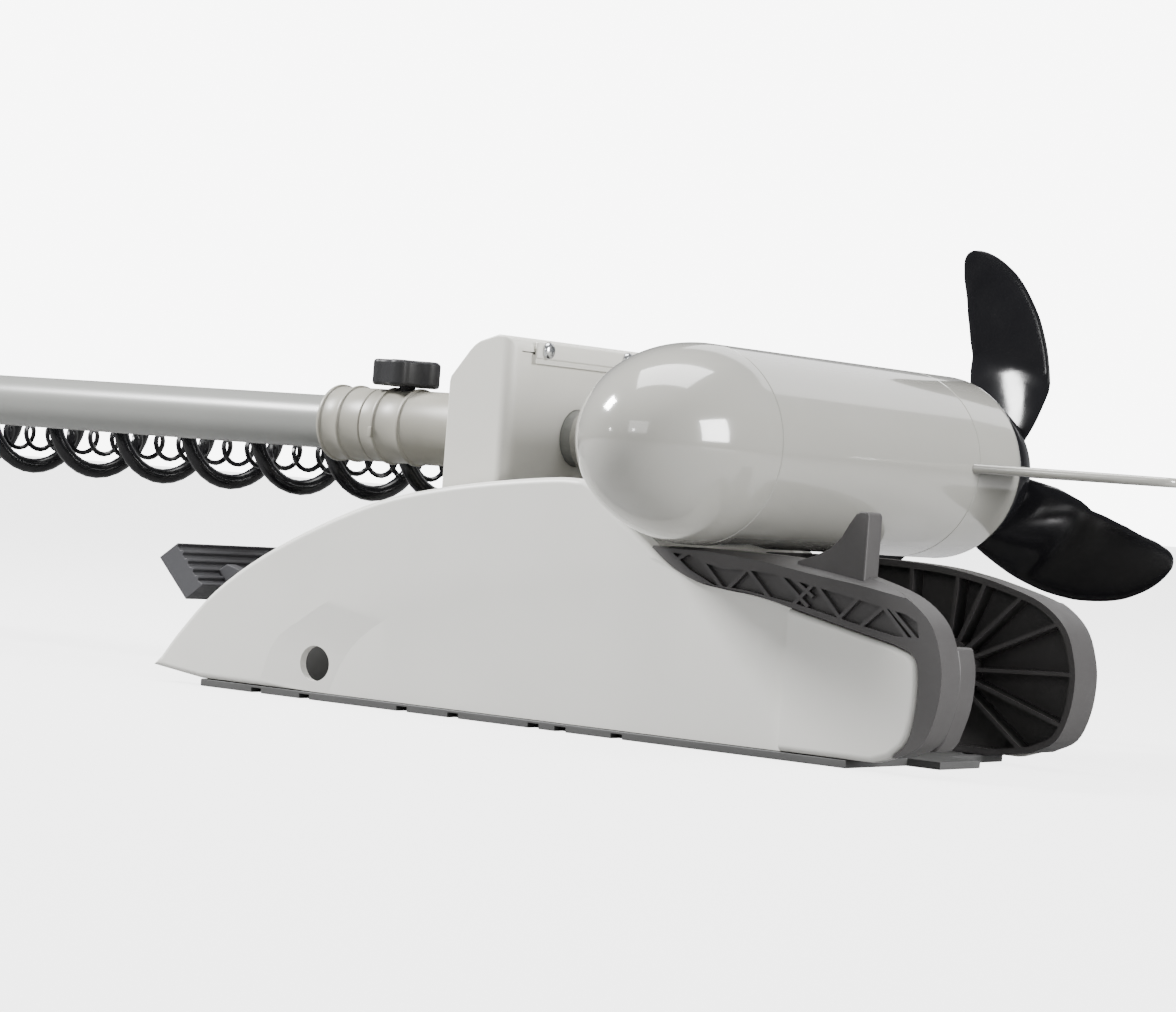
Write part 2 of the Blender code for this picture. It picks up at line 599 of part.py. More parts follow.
# ------------------------------------------------------------------ shaft, motor and skeg
MOTOR_CENTRE = (0, 0, AXIS_HEIGHT)
ring("shaft_tube", SHAFT_RADIUS - SHAFT_WALL, SHAFT_RADIUS, SHAFT_END,
     -MOTOR_RADIUS - 0.001, "X", MOTOR_CENTRE, SHAFT_GREY, 40)


def motor_skin(name, extra=GAP):
    """A cutter of the motor's outer surface, for what sits on it."""
    return rod(name, MOTOR_RADIUS + extra, MOTOR_FRONT - 0.05, MOTOR_REAR + 0.05, "Y",
               MOTOR_CENTRE, GLOSS_WHITE, 96)


def build_neck():
    """The boss on the motor that the shaft is bonded into."""
    neck = turned("shaft_neck", [
        (SHAFT_RADIUS + GAP, -0.020), (0.0245, -0.020), (0.0235, -0.053), (0.0195, -0.070),
        (0.0178, -0.077), (0.0168, NECK_END), (SHAFT_RADIUS + GAP, NECK_END),
    ][::-1], "X", MOTOR_CENTRE, GLOSS_WHITE, 40)
    return cut(neck, motor_skin("neck_seat"))


def build_nose():
    """The nose cone: half an ellipsoid, hollow, open at the seam, with a short spigot."""
    steps, inner_steps = 11, 5
    outer = [(MOTOR_RADIUS * math.cos(math.pi / 2 * i / steps),
              MOTOR_FRONT - NOSE_LENGTH * math.sin(math.pi / 2 * i / steps)) for i in range(steps)]
    inner = [((MOTOR_RADIUS - MOTOR_WALL) * math.cos(math.pi / 2 * i / inner_steps),
              MOTOR_FRONT - (NOSE_LENGTH - MOTOR_WALL) * math.sin(math.pi / 2 * i / inner_steps))
             for i in range(inner_steps)]
    profile = [*outer, (0, MOTOR_FRONT - NOSE_LENGTH), (0, MOTOR_FRONT - NOSE_LENGTH + MOTOR_WALL),
               *reversed(inner)]
    return turned("nose_cone", profile, "Y", MOTOR_CENTRE, GLOSS_WHITE, 48)


def build_bell():
    """The rear bell that carries the rear bearing, with a rounded rear edge."""
    r, wall = MOTOR_RADIUS, MOTOR_WALL
    front = MOTOR_TUBE_END + GAP
    rim = [(r - BELL_ROUND + BELL_ROUND * math.cos(math.pi / 2 * i / 5),
            MOTOR_REAR - BELL_ROUND + BELL_ROUND * math.sin(math.pi / 2 * i / 5)) for i in range(6)]
    profile = [(r - wall, front), (r, front), *rim, (0.0165, MOTOR_REAR), (0.0165, MOTOR_REAR - 0.022),
               (0.030, MOTOR_REAR - 0.022), (r - wall, MOTOR_REAR - 0.032)]
    return turned("rear_bell", profile[::-1], "Y", MOTOR_CENTRE, GLOSS_WHITE, 48)


def build_skeg():
    """The skeg, a flat fin in the plane of the shaft and the motor, opposite the shaft."""
    root = MOTOR_RADIUS - 0.012
    tip = MOTOR_RADIUS + SKEG_REACH
    rear = MOTOR_REAR - 0.010
    outline = [(root, 0.104), (MOTOR_RADIUS, 0.108), (tip - 0.010, 0.139), (tip - 0.002, 0.144),
               (tip, 0.150), (tip - 0.004, 0.157), (MOTOR_RADIUS + 0.020, rear - 0.006),
               (MOTOR_RADIUS, rear - 0.008), (root, rear - 0.008)]
    made = prism("skeg", outline, AXIS_HEIGHT - SKEG_THICKNESS / 2, AXIS_HEIGHT + SKEG_THICKNESS / 2,
                 GLOSS_WHITE, "XY")
    bevel(made, 0.0012, 2)
    return cut(made, motor_skin("skeg_seat"))


ring("motor_tube", MOTOR_RADIUS - MOTOR_WALL, MOTOR_RADIUS, MOTOR_FRONT + GAP, MOTOR_TUBE_END, "Y",
     MOTOR_CENTRE, GLOSS_WHITE, 48)
build_neck()
build_nose()
build_bell()
build_skeg()

MAGNET_OUTER = MOTOR_RADIUS - MOTOR_WALL - GAP
ring("magnet_ring", MAGNET_OUTER - MAGNET_THICKNESS, MAGNET_OUTER, -0.030, 0.080, "Y", MOTOR_CENTRE,
     MAGNET, 32)
ring("front_bearing", PROP_SHAFT_RADIUS + GAP, 0.014, -0.062, -0.054, "Y", MOTOR_CENTRE, STEEL, 24)
ring("front_bearing_plate", 0.014 + GAP, MAGNET_OUTER, -0.064, -0.052, "Y", MOTOR_CENTRE, ALUMINIUM, 32)
ring("brush_plate", 0.0165, MAGNET_OUTER, -0.050, -0.044, "Y", MOTOR_CENTRE, BRASS, 32)
ring("rear_bearing", PROP_SHAFT_RADIUS + GAP, 0.0162, MOTOR_REAR - 0.021, MOTOR_REAR - 0.011, "Y",
     MOTOR_CENTRE, STEEL, 24)
ring("shaft_seal", PROP_SHAFT_RADIUS + GAP, 0.0162, MOTOR_REAR - 0.0105, MOTOR_REAR - 0.002, "Y",
     MOTOR_CENTRE, SEAL_RUBBER, 24)


# ------------------------------------------------------------------ propeller and rotor
HUB_FRONT = MOTOR_REAR + 0.0025
HUB_REAR = HUB_FRONT + PROP_HUB_LENGTH


def between(share, stops):
    """The value at a share along (share, value) stops, on a straight line between each two."""
    for (s0, v0), (s1, v1) in zip(stops, stops[1:]):
        if share <= s1:
            return v0 + (v1 - v0) * (share - s0) / (s1 - s0)
    return stops[-1][1]


def blade_section(share):
    """(radius, chord, sweep, pitch, rake, thickness) of a blade at a share of its length."""
    root = PROP_HUB_RADIUS * 0.62
    radius = root + (PROP_RADIUS - root) * share
    round_off = math.sqrt(max(0.01, 1 - max(0.0, (share - 0.83) / 0.17) ** 2))
    chord = between(share, ((0, 0.036), (0.18, 0.050), (0.35, 0.0578), (0.5, 0.0560), (0.65, 0.0507),
                            (0.8, 0.0410), (0.9, 0.0334), (1, 0.0300))) * round_off
    flare = 0.018 * max(0.0, 1 - share / 0.4)
    chord += flare
    sweep = -0.0285 + 0.0149 * share**5 + flare / 2
    pitch = math.radians(between(share, ((0, 26), (0.35, 8), (1, 4.7))))
    rake = between(share, ((0, 0.006), (0.35, 0.0180), (1, 0.0185)))
    thick = BLADE_THICKNESS * (1.15 - 0.55 * share) * (0.4 + 0.6 * round_off)
    return radius, chord, sweep, pitch, rake, thick


def build_blade(name, turn):
    """One swept blade, lofted through lens-shaped sections from inside the hub to its tip."""
    form = bmesh.new()
    rings = []
    middle = (HUB_FRONT + HUB_REAR) / 2
    for share in (0, 0.12, 0.24, 0.36, 0.48, 0.60, 0.70, 0.79, 0.86, 0.92, 0.96, 0.985, 1.0):
        radius, chord, sweep, pitch, rake, thick = blade_section(share)
        loop = []
        for u, v in ((-0.5, 0), (-0.3, 0.4), (0, 0.5), (0.3, 0.4), (0.5, 0),
                     (0.3, -0.4), (0, -0.5), (-0.3, -0.4)):
            along, off = u * chord, v * thick
            tangent = along * math.cos(pitch) - off * math.sin(pitch) + sweep
            axial = along * math.sin(pitch) + off * math.cos(pitch) + rake
            angle = turn + tangent / radius
            loop.append(form.verts.new((radius * math.cos(angle), middle + axial,
                                        AXIS_HEIGHT + radius * math.sin(angle))))
        rings.append(loop)
    for a, b in zip(rings, rings[1:]):
        for i in range(len(a)):
            j = (i + 1) % len(a)
            form.faces.new((a[i], a[j], b[j], b[i]))
    form.faces.new(rings[0])
    form.faces.new(rings[-1])
    return to_object(name, form, PROP_BLACK)


def build_propeller():
    """Hub and blades as one moulding, bored for the shaft and for the nut."""
    h = PROP_HUB_RADIUS
    hub = turned("propeller", [
        (PROP_SHAFT_RADIUS + GAP, HUB_FRONT), (h - 0.003, HUB_FRONT), (h, HUB_FRONT + 0.004),
        (h - 0.003, HUB_FRONT + 0.016), (h - 0.013, HUB_FRONT + 0.034), (0.020, HUB_REAR),
        (0.0125, HUB_REAR), (0.0125, HUB_REAR - 0.010), (PROP_SHAFT_RADIUS + GAP, HUB_REAR - 0.010),
    ][::-1], "Y", MOTOR_CENTRE, PROP_BLACK, 40)
    for i in range(BLADES):
        fuse(hub, build_blade(f"blade_{i}", math.radians(BLADE_TURN) + 2 * math.pi * i / BLADES))
    return cut(hub, rod("hub_bore", PROP_SHAFT_RADIUS + GAP, HUB_FRONT - 0.01, HUB_REAR + 0.01, "Y",
                        MOTOR_CENTRE, PROP_BLACK, 24))


rod("prop_shaft", PROP_SHAFT_RADIUS, -0.060, HUB_REAR + 0.0045, "Y", MOTOR_CENTRE, STEEL, 24)
build_propeller()
ring("armature", PROP_SHAFT_RADIUS + GAP, ARMATURE_RADIUS, -0.025, 0.075, "Y", MOTOR_CENTRE, COPPER, 36)
ring("commutator", PROP_SHAFT_RADIUS + GAP, 0.0145, -0.0495, -0.0285, "Y", MOTOR_CENTRE, BRASS, 24)
NUT_FRONT = HUB_REAR - 0.010 + GAP
cut(rod("prop_nut", 0.0105, NUT_FRONT, HUB_REAR + 0.003, "Y", MOTOR_CENTRE, STEEL, 6),
    rod("nut_bore", PROP_SHAFT_RADIUS + GAP, NUT_FRONT - 0.01, HUB_REAR + 0.02, "Y", MOTOR_CENTRE,
        STEEL, 24))


# ------------------------------------------------------------------ control head
HEAD_FACE = SHAFT_END + 0.055  # the side that the shaft enters
HEAD_SPLIT = SHAFT_END - 0.004
HEAD_BACK = HEAD_FACE - HEAD_LENGTH
HEAD_MID = AXIS_HEIGHT - 0.002


def head_outline(shrink):
    """The head's rounded outline across the shaft, as (Y, Z) points."""
    outline = []
    half_w, half_h = HEAD_HALF_WIDTH - shrink, HEAD_HEIGHT / 2 - shrink
    for i in range(40):
        angle = 2 * math.pi * i / 40
        c, s = math.cos(angle), math.sin(angle)
        outline.append((half_w * math.copysign(abs(c) ** 0.62, c),
                        HEAD_MID + half_h * math.copysign(abs(s) ** 0.62, s)))
    return outline


def build_head():
    """The control head at the shaft's top: a socket half and a domed cover half."""
    lower = prism("head_lower", head_outline(0), HEAD_SPLIT + GAP, HEAD_FACE, BLACK_PLASTIC, "YZ")
    bevel(lower, 0.006, 3, 50)
    cut(lower, prism("head_lower_hollow", head_outline(0.004), HEAD_SPLIT - 0.02, HEAD_FACE - 0.020,
                     BLACK_PLASTIC, "YZ"))
    cut(lower, rod("head_socket", SHAFT_RADIUS + GAP, HEAD_SPLIT - 0.02, HEAD_FACE + 0.02, "X",
                   MOTOR_CENTRE, BLACK_PLASTIC, 40))
    upper = prism("head_cover", head_outline(0), HEAD_BACK, HEAD_SPLIT, BLACK_PLASTIC, "YZ")
    bevel(upper, 0.016, 4, 50)
    cut(upper, prism("head_cover_hollow", head_outline(0.0045), HEAD_BACK + 0.006, HEAD_SPLIT + 0.02,
                     BLACK_PLASTIC, "YZ"))
    circuit = block("control_board", (HEAD_SPLIT - 0.0300, -0.055, HEAD_MID - 0.025),
                    (HEAD_SPLIT - 0.0284, 0.055, HEAD_MID + 0.025), BRASS)
    lens = rod("head_indicator", 0.006, HEAD_BACK - 0.0022, HEAD_BACK - GAP, "X",
               (0, 0, HEAD_MID + 0.012), SHAFT_GREY, 24)
    return lower, upper, circuit, lens


build_head()


# ------------------------------------------------------------------ cords
def build_cord(name, radius, points):
    """A round cord along points, with flat capped ends."""
    curve = bpy.data.curves.new(name, "CURVE")
    curve.dimensions = "3D"
    line = curve.splines.new("POLY")
    line.points.add(len(points) - 1)
    for point, place in zip(line.points, points):
        point.co = (*place, 1.0)
    curve.bevel_depth = radius
    curve.bevel_resolution = 3
    curve.use_fill_caps = True
    curve.materials.append(CORD_BLACK)
    made = bpy.data.objects.new(name, curve)
    bpy.context.scene.collection.objects.link(made)
    return made


COIL_STOP = HEAD_FACE + GAP
COIL_STEPS = 7
build_cord("coil_cord", COIL_RADIUS, [
    (COIL_START + (COIL_STOP - COIL_START) * i / COIL_STEPS, *COIL_CENTRE) for i in range(COIL_STEPS + 1)
])
build_cord("coil_cord_lead", CORD_RADIUS, [
    (-0.187 - GAP, 0.050, 0.1175), (-0.205, 0.050, 0.1175), (-0.225, 0.050, 0.1175),
    (-0.245, 0.050, 0.1175), (COIL_START + GAP, 0.050, 0.1175),
])


# ------------------------------------------------------------------ pedal and latch
def build_pedal():
    """The ribbed foot bar, on two arms that turn on the pedal pin."""
    top, foot = Vector((-0.358, 0.076)), Vector((-0.337, 0.054))
    outward = Vector((foot.y - top.y, top.x - foot.x)).normalized() * -1
    ribs = []
    teeth = 5
    for i in range(teeth):
        for share, lift in ((0.18, 0.0), (0.30, -1.0), (0.70, -1.0), (0.82, 0.0)):
            if lift < 0 and i == teeth - 1 and share > 0.5:
                continue
            point = top.lerp(foot, (i + share) / teeth) + outward * (0.0014 * (lift + 0.0))
            ribs.append(tuple(point))
    bar_outline = [(-0.371, 0.067), tuple(top), *ribs, tuple(foot), (-0.349, 0.045)]
    bar = prism("release_pedal", bar_outline, -PEDAL_HALF_WIDTH, PEDAL_HALF_WIDTH, PEDAL_GREY)
    x, z = PEDAL_PIVOT
    for side in (-1, 1):
        arm = [(x + 0.009, z - 0.004), (x + 0.009, z + 0.006), (x + 0.002, z + 0.0105),
               (-0.300, 0.0560), (-0.340, 0.0660), (-0.350, 0.0600), (-0.343, 0.0520),
               (-0.300, 0.0400), (x - 0.006, z - 0.0095), (x + 0.003, z - 0.0095)]
        fuse(bar, prism(f"pedal_arm_{side + 1}", arm, *mirrored(0.028, 0.036, side), PEDAL_GREY))
    return cut(bar, rod("pedal_bore", PEDAL_PIN_RADIUS + RUNNING, -0.05, 0.05, "Y", (x, 0, z),
                        PEDAL_GREY))


def build_latch():
    """The latch lever that the pedal draws back from the housing's lug."""
    x, z = LATCH_PIVOT
    outline = [(x - 0.008, z - 0.006), (x + 0.008, z - 0.006), (x + 0.012, z + 0.006),
               (x + 0.017, z + 0.030), (x + 0.033, z + 0.036), (x + 0.033, z + 0.042),
               (x + 0.014, z + 0.044), (x + 0.003, z + 0.024), (x - 0.008, z + 0.008)]
    lever = prism("latch_lever", outline, -0.006, 0.006, STEEL)
    bevel(lever, 0.0008, 1)
    return cut(lever, rod("latch_bore", PEDAL_PIN_RADIUS + RUNNING, -0.05, 0.05, "Y", (x, 0, z), STEEL))


build_pedal()
build_latch()


# ------------------------------------------------------------------ joints
def mover(name, pivot, members):
    """An empty on a joint's axis, as the parent of the pieces that move about it."""
    axis = bpy.data.objects.new(name, None)
    axis.location = pivot
    bpy.context.scene.collection.objects.link(axis)
    for member in members:
        piece = bpy.data.objects[member]
        piece.parent = axis
        piece.matrix_parent_inverse = Matrix.Translation(pivot).inverted()


mover("deploy_axis", (PIVOT[0], 0, PIVOT[1]), (
    "near_link_arm", "far_link_arm", "link_arm_brace", "base_pivot_spacer"))
mover("housing_tilt_axis", (LINK_PIVOT[0], 0, LINK_PIVOT[1]), (
    "steering_housing", "housing_cap", "cap_screw_upper_near", "cap_screw_upper_far",
    "cap_screw_lower_near", "cap_screw_lower_far", "housing_pivot_pin", "steering_sleeve",
    "depth_collar", "steering_gear", "steering_worm", "steering_drive_motor", "cord_gland",
    "coil_cord_lead"))
mover("depth_slide_axis", MOTOR_CENTRE, (
    "shaft_tube", "shaft_neck", "motor_tube", "nose_cone", "rear_bell", "skeg", "magnet_ring",
    "front_bearing", "front_bearing_plate", "brush_plate", "rear_bearing", "shaft_seal",
    "head_lower", "head_cover", "control_board", "head_indicator", "coil_cord"))
mover("propeller_axis", MOTOR_CENTRE, (
    "prop_shaft", "propeller", "armature", "commutator", "prop_nut"))
mover("clamp_knob_axis", (KNOB_X, 0, KNOB_BASE), ("clamp_knob",))
mover("pedal_axis", (PEDAL_PIVOT[0], 0, PEDAL_PIVOT[1]), ("release_pedal",))
mover("latch_axis", (LATCH_PIVOT[0], 0, LATCH_PIVOT[1]), ("latch_lever",))
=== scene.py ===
"""The looks of a bow-mount trolling motor, stowed on its mount, around its CAD model.

Frame: +X points over the bow along the shaft, +Y along the motor towards the propeller, +Z up,
with the deck at zero. Lengths are in metres.
"""

import json
import logging
import math
from dataclasses import dataclass
from enum import Enum
from typing import Callable, Sequence

import bpy
from mathutils import Matrix, Vector


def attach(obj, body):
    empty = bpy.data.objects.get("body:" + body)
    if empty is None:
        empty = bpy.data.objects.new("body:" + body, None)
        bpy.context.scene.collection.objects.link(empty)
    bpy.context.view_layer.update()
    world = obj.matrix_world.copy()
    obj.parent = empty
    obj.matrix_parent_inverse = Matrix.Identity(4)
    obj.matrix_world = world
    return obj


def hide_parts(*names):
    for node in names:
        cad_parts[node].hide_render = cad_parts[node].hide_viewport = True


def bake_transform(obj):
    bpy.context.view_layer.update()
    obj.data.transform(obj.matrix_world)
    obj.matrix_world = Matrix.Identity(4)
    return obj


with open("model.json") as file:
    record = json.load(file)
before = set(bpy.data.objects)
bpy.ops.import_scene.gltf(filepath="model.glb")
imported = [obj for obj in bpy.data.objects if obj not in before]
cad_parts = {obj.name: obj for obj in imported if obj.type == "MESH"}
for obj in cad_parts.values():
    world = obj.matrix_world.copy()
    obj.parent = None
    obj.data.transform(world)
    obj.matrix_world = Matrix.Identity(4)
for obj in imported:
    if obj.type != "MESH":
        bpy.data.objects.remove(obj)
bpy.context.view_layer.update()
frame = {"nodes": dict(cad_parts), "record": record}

logging.basicConfig(level=logging.INFO, format="%(message)s")
log = logging.getLogger("trolling_motor")

Point2 = tuple[float, float]
Point3 = tuple[float, float, float]

# ------------------------------------------------------------------ driving sizes
GAP = 0.0003
SHAFT_RADIUS = 0.0150
SHAFT_BORE = SHAFT_RADIUS + 0.0004
AXIS_HEIGHT = 0.150
MOTOR_RADIUS = 0.0500
MOTOR_FRONT = -0.079
MOTOR_TUBE_END = 0.116
MOTOR_REAR = 0.171
MOUNT_HALF_WIDTH = 0.079
COVER_DEPTH = 0.011
COVER_BOTTOM = 0.0043
REBATE = MOUNT_HALF_WIDTH - COVER_DEPTH - GAP
PIVOT: Point2 = (0.073, 0.046)
PIN_BORE = 0.006 + GAP
HOUSING_FRONT = -0.130
HEAD_FACE = -1.100
PROP_FRONT = MOTOR_REAR + 0.0025
CORD_EXIT: Point3 = (-0.187, 0.050, 0.1175)
SIGNAL_PLACE: Point2 = (0.030, 0.110)
STEM_RADIUS = 0.0045
MOTOR_CENTRE: Point3 = (0.0, 0.0, AXIS_HEIGHT)


class Body(str, Enum):
    """The bodies that the pieces made here move with."""

    MOUNT = "mount_base"
    STEERING = "steering_head"
    SHAFT = "shaft_and_motor"
    ROTOR = "rotor"
    KNOB = "knob"
    PEDAL = "pedal"


class Axis(Enum):
    """A direction that something is turned about or swept along."""

    X = (1.0, 0.0, 0.0)
    Y = (0.0, 1.0, 0.0)
    Z = (0.0, 0.0, 1.0)


class Side(Enum):
    """The near side of the mount, where the nose is, or the far side."""

    NEAR = -1
    FAR = 1


# ------------------------------------------------------------------ finishes
class Grain(Enum):
    """What a surface is like close up."""

    ORANGE_PEEL = "orange_peel"
    MOULDED = "moulded"
    BRUSHED = "brushed"
    CAST = "cast"
    RUBBER = "rubber"


@dataclass(frozen=True)
class Finish:
    """A paint, moulding or metal, with its wander of colour and gloss and its fine grain."""

    name: str
    colour: Point3
    roughness: float
    metallic: float = 0.0
    coat: float = 0.0
    wander: float = 0.06
    wander_scale: float = 14.0
    gloss_wander: float = 0.05
    grain: Grain = Grain.MOULDED
    grain_depth: float = 0.00002
    specular: float = 0.5

    def material(self) -> bpy.types.Material:
        """The finish as a node material, built once.

        Returns:
            The material.
        """
        made = bpy.data.materials.get(self.name)
        if made is not None:
            return made
        made = bpy.data.materials.new(self.name)
        made.use_nodes = True
        nodes, links = made.node_tree.nodes, made.node_tree.links
        shader = nodes["Principled BSDF"]
        shader.inputs["Metallic"].default_value = self.metallic
        shader.inputs["Coat Weight"].default_value = self.coat
        shader.inputs["Coat Roughness"].default_value = 0.04
        shader.inputs["Specular IOR Level"].default_value = self.specular
        place = nodes.new("ShaderNodeTexCoord").outputs["Object"]

        cloud = nodes.new("ShaderNodeTexNoise")
        cloud.inputs["Scale"].default_value = self.wander_scale
        cloud.inputs["Detail"].default_value = 4.0
        links.new(place, cloud.inputs["Vector"])
        ramp = nodes.new("ShaderNodeValToRGB")
        ramp.color_ramp.elements[0].position = 0.30
        ramp.color_ramp.elements[1].position = 0.72
        dark = [c * (1.0 - self.wander) for c in self.colour]
        light = [min(1.0, c * (1.0 + self.wander * 0.6)) for c in self.colour]
        ramp.color_ramp.elements[0].color = (*dark, 1.0)
        ramp.color_ramp.elements[1].color = (*light, 1.0)
        links.new(cloud.outputs["Fac"], ramp.inputs["Fac"])
        links.new(ramp.outputs["Color"], shader.inputs["Base Color"])

        smear = nodes.new("ShaderNodeTexNoise")
        smear.inputs["Scale"].default_value = self.wander_scale * 3.1
        smear.inputs["Detail"].default_value = 5.0
        links.new(place, smear.inputs["Vector"])
        gloss = nodes.new("ShaderNodeMapRange")
        gloss.inputs["From Min"].default_value = 0.3
        gloss.inputs["From Max"].default_value = 0.7
        gloss.inputs["To Min"].default_value = max(0.02, self.roughness - self.gloss_wander)
        gloss.inputs["To Max"].default_value = min(1.0, self.roughness + self.gloss_wander)
        links.new(smear.outputs["Fac"], gloss.inputs["Value"])
        links.new(gloss.outputs["Result"], shader.inputs["Roughness"])

        height = self.grain_height(nodes, links, place)
        bump = nodes.new("ShaderNodeBump")
        bump.inputs["Strength"].default_value = 1.0
        bump.inputs["Distance"].default_value = self.grain_depth
        links.new(height, bump.inputs["Height"])
        links.new(bump.outputs["Normal"], shader.inputs["Normal"])
        return made

    def grain_height(self, nodes: bpy.types.Nodes, links: bpy.types.NodeLinks,
                     place: bpy.types.NodeSocket) -> bpy.types.NodeSocket:
        """The height of the fine grain.

        Args:
            nodes: The material's nodes.
            links: The material's links.
            place: The socket that gives a point's place.

        Returns:
            The socket of the height.
        """
        if self.grain is Grain.BRUSHED:
            stretch = nodes.new("ShaderNodeMapping")
            stretch.inputs["Scale"].default_value = (60.0, 900.0, 900.0)
            links.new(place, stretch.inputs["Vector"])
            place = stretch.outputs["Vector"]
        texture = nodes.new("ShaderNodeTexNoise")
        scale = {
            Grain.ORANGE_PEEL: 420.0,
            Grain.MOULDED: 1500.0,
            Grain.BRUSHED: 1.0,
            Grain.CAST: 900.0,
            Grain.RUBBER: 700.0,
        }[self.grain]
        texture.inputs["Scale"].default_value = scale
        texture.inputs["Detail"].default_value = 2.0 if self.grain is Grain.ORANGE_PEEL else 5.0
        links.new(place, texture.inputs["Vector"])
        return texture.outputs["Fac"]

    def dress(self, piece: bpy.types.Object) -> None:
        """Gives a piece this finish."""
        piece.data.materials.clear()
        piece.data.materials.append(self.material())


GLOSS_WHITE = Finish("gloss_white_enamel", (0.32, 0.315, 0.288), 0.14, coat=0.9, wander=0.03,
                     grain=Grain.ORANGE_PEEL, grain_depth=0.000006, gloss_wander=0.03)
COVER_WHITE = Finish("satin_white_moulding", (0.64, 0.635, 0.60), 0.42, wander=0.03,
                     grain_depth=0.00001)
HOUSING_WHITE = Finish("satin_white_powder_coat", (0.60, 0.59, 0.545), 0.42, wander=0.035,
                       grain=Grain.ORANGE_PEEL, grain_depth=0.00002)
COLLAR_CREAM = Finish("cream_moulding", (0.26, 0.25, 0.215), 0.40, wander=0.06, wander_scale=30.0,
                      grain_depth=0.00002)
SHAFT_GREY = Finish("grey_composite_tube", (0.20, 0.203, 0.192), 0.30, wander=0.03,
                    gloss_wander=0.015, grain=Grain.ORANGE_PEEL, grain_depth=0.000008)
RAMP_GREY = Finish("grey_glass_filled_moulding", (0.048, 0.0455, 0.045), 0.50, wander=0.08,
                   wander_scale=24.0, grain_depth=0.00004)
BLACK_MOULDING = Finish("black_moulding", (0.018, 0.018, 0.020), 0.38, wander=0.25,
                        grain_depth=0.00003)
KNOB_BLACK = Finish("soft_black_knob", (0.014, 0.014, 0.015), 0.46, specular=0.3, wander=0.25,
                    grain_depth=0.00005)
BLADE_BLACK = Finish("gloss_black_blade", (0.006, 0.006, 0.007), 0.16, specular=0.28, wander=0.2,
                     grain=Grain.ORANGE_PEEL, grain_depth=0.000008, gloss_wander=0.05)
CORD_BLACK = Finish("cord_jacket", (0.006, 0.006, 0.007), 0.24, specular=0.3, wander=0.2,
                    wander_scale=40.0, gloss_wander=0.02, grain=Grain.RUBBER,
                    grain_depth=0.00002)
PEDAL_GREY = Finish("dark_grey_moulding", (0.048, 0.048, 0.052), 0.55, specular=0.3, wander=0.1,
                    grain_depth=0.00005)
TRAY_ALUMINIUM = Finish("grey_anodised_tray", (0.085, 0.085, 0.084), 0.45, metallic=0.3,
                        grain=Grain.BRUSHED, grain_depth=0.00001)
STEEL = Finish("bright_steel", (0.66, 0.67, 0.68), 0.24, metallic=1.0, grain=Grain.BRUSHED,
               grain_depth=0.000004)
COPPER = Finish("copper_winding", (0.60, 0.26, 0.12), 0.35, metallic=1.0, grain=Grain.BRUSHED)
MAGNET = Finish("dark_ferrite", (0.05, 0.05, 0.055), 0.60, grain=Grain.CAST)
BRASS = Finish("plain_brass", (0.62, 0.46, 0.18), 0.30, metallic=1.0, grain=Grain.BRUSHED)
SEAL_RUBBER = Finish("black_rubber", (0.02, 0.02, 0.02), 0.70, grain=Grain.RUBBER)

SLOT_FINISHES: dict[str, Finish] = {
    "gloss_white_paint": GLOSS_WHITE,
    "cover_white_plastic": COVER_WHITE,
    "housing_white_paint": HOUSING_WHITE,
    "collar_cream_plastic": COLLAR_CREAM,
    "shaft_grey": SHAFT_GREY,
    "ramp_grey_plastic": RAMP_GREY,
    "black_plastic": BLACK_MOULDING,
    "prop_gloss_black": BLADE_BLACK,
    "cord_black": CORD_BLACK,
    "pedal_grey_plastic": PEDAL_GREY,
    "stainless_steel": STEEL,
    "anodised_aluminium": TRAY_ALUMINIUM,
    "copper_winding": COPPER,
    "ferrite_magnet": MAGNET,
    "brass": BRASS,
    "seal_rubber": SEAL_RUBBER,
}


# ------------------------------------------------------------------ bench work
def clear_bench() -> None:
    """Leaves edit mode and selects nothing."""
    if bpy.context.object is not None and bpy.context.object.mode != "OBJECT":
        bpy.ops.object.mode_set(mode="OBJECT")
    bpy.ops.object.select_all(action="DESELECT")


def take(piece: bpy.types.Object) -> None:
    """Selects one piece alone and makes it the active one."""
    clear_bench()
    piece.select_set(True)
    bpy.context.view_layer.objects.active = piece


def finish_edit(piece: bpy.types.Object) -> None:
    """Merges doubled points, turns the faces outward and leaves edit mode."""
    bpy.ops.mesh.select_all(action="SELECT")
    bpy.ops.mesh.remove_doubles(threshold=0.000002)
    bpy.ops.mesh.normals_make_consistent(inside=False)
    bpy.ops.object.mode_set(mode="OBJECT")
    piece.select_set(False)


def draw_line(name: str, points: Sequence[Sequence[float]]) -> bpy.types.Object:
    """Draws a line of points, each one extruded from the last, and stays in edit mode.

    Args:
        name: The new piece's name.
        points: The line's points.

    Returns:
        The piece.
    """
    clear_bench()
    bpy.ops.mesh.primitive_plane_add(size=0.01, location=(0.0, 0.0, 0.0))
    piece = bpy.context.object
    piece.name = name
    piece.data.name = name
    bpy.ops.object.mode_set(mode="EDIT")
    bpy.ops.mesh.select_mode(type="VERT")
    bpy.ops.mesh.select_all(action="SELECT")
    bpy.ops.mesh.merge(type="CENTER")
    here = Vector(points[0])
    bpy.ops.transform.translate(value=here)
    for point in points[1:]:
        step = Vector(point) - here
        bpy.ops.mesh.extrude_region_move(TRANSFORM_OT_translate={"value": step})
        here = Vector(point)
    return piece


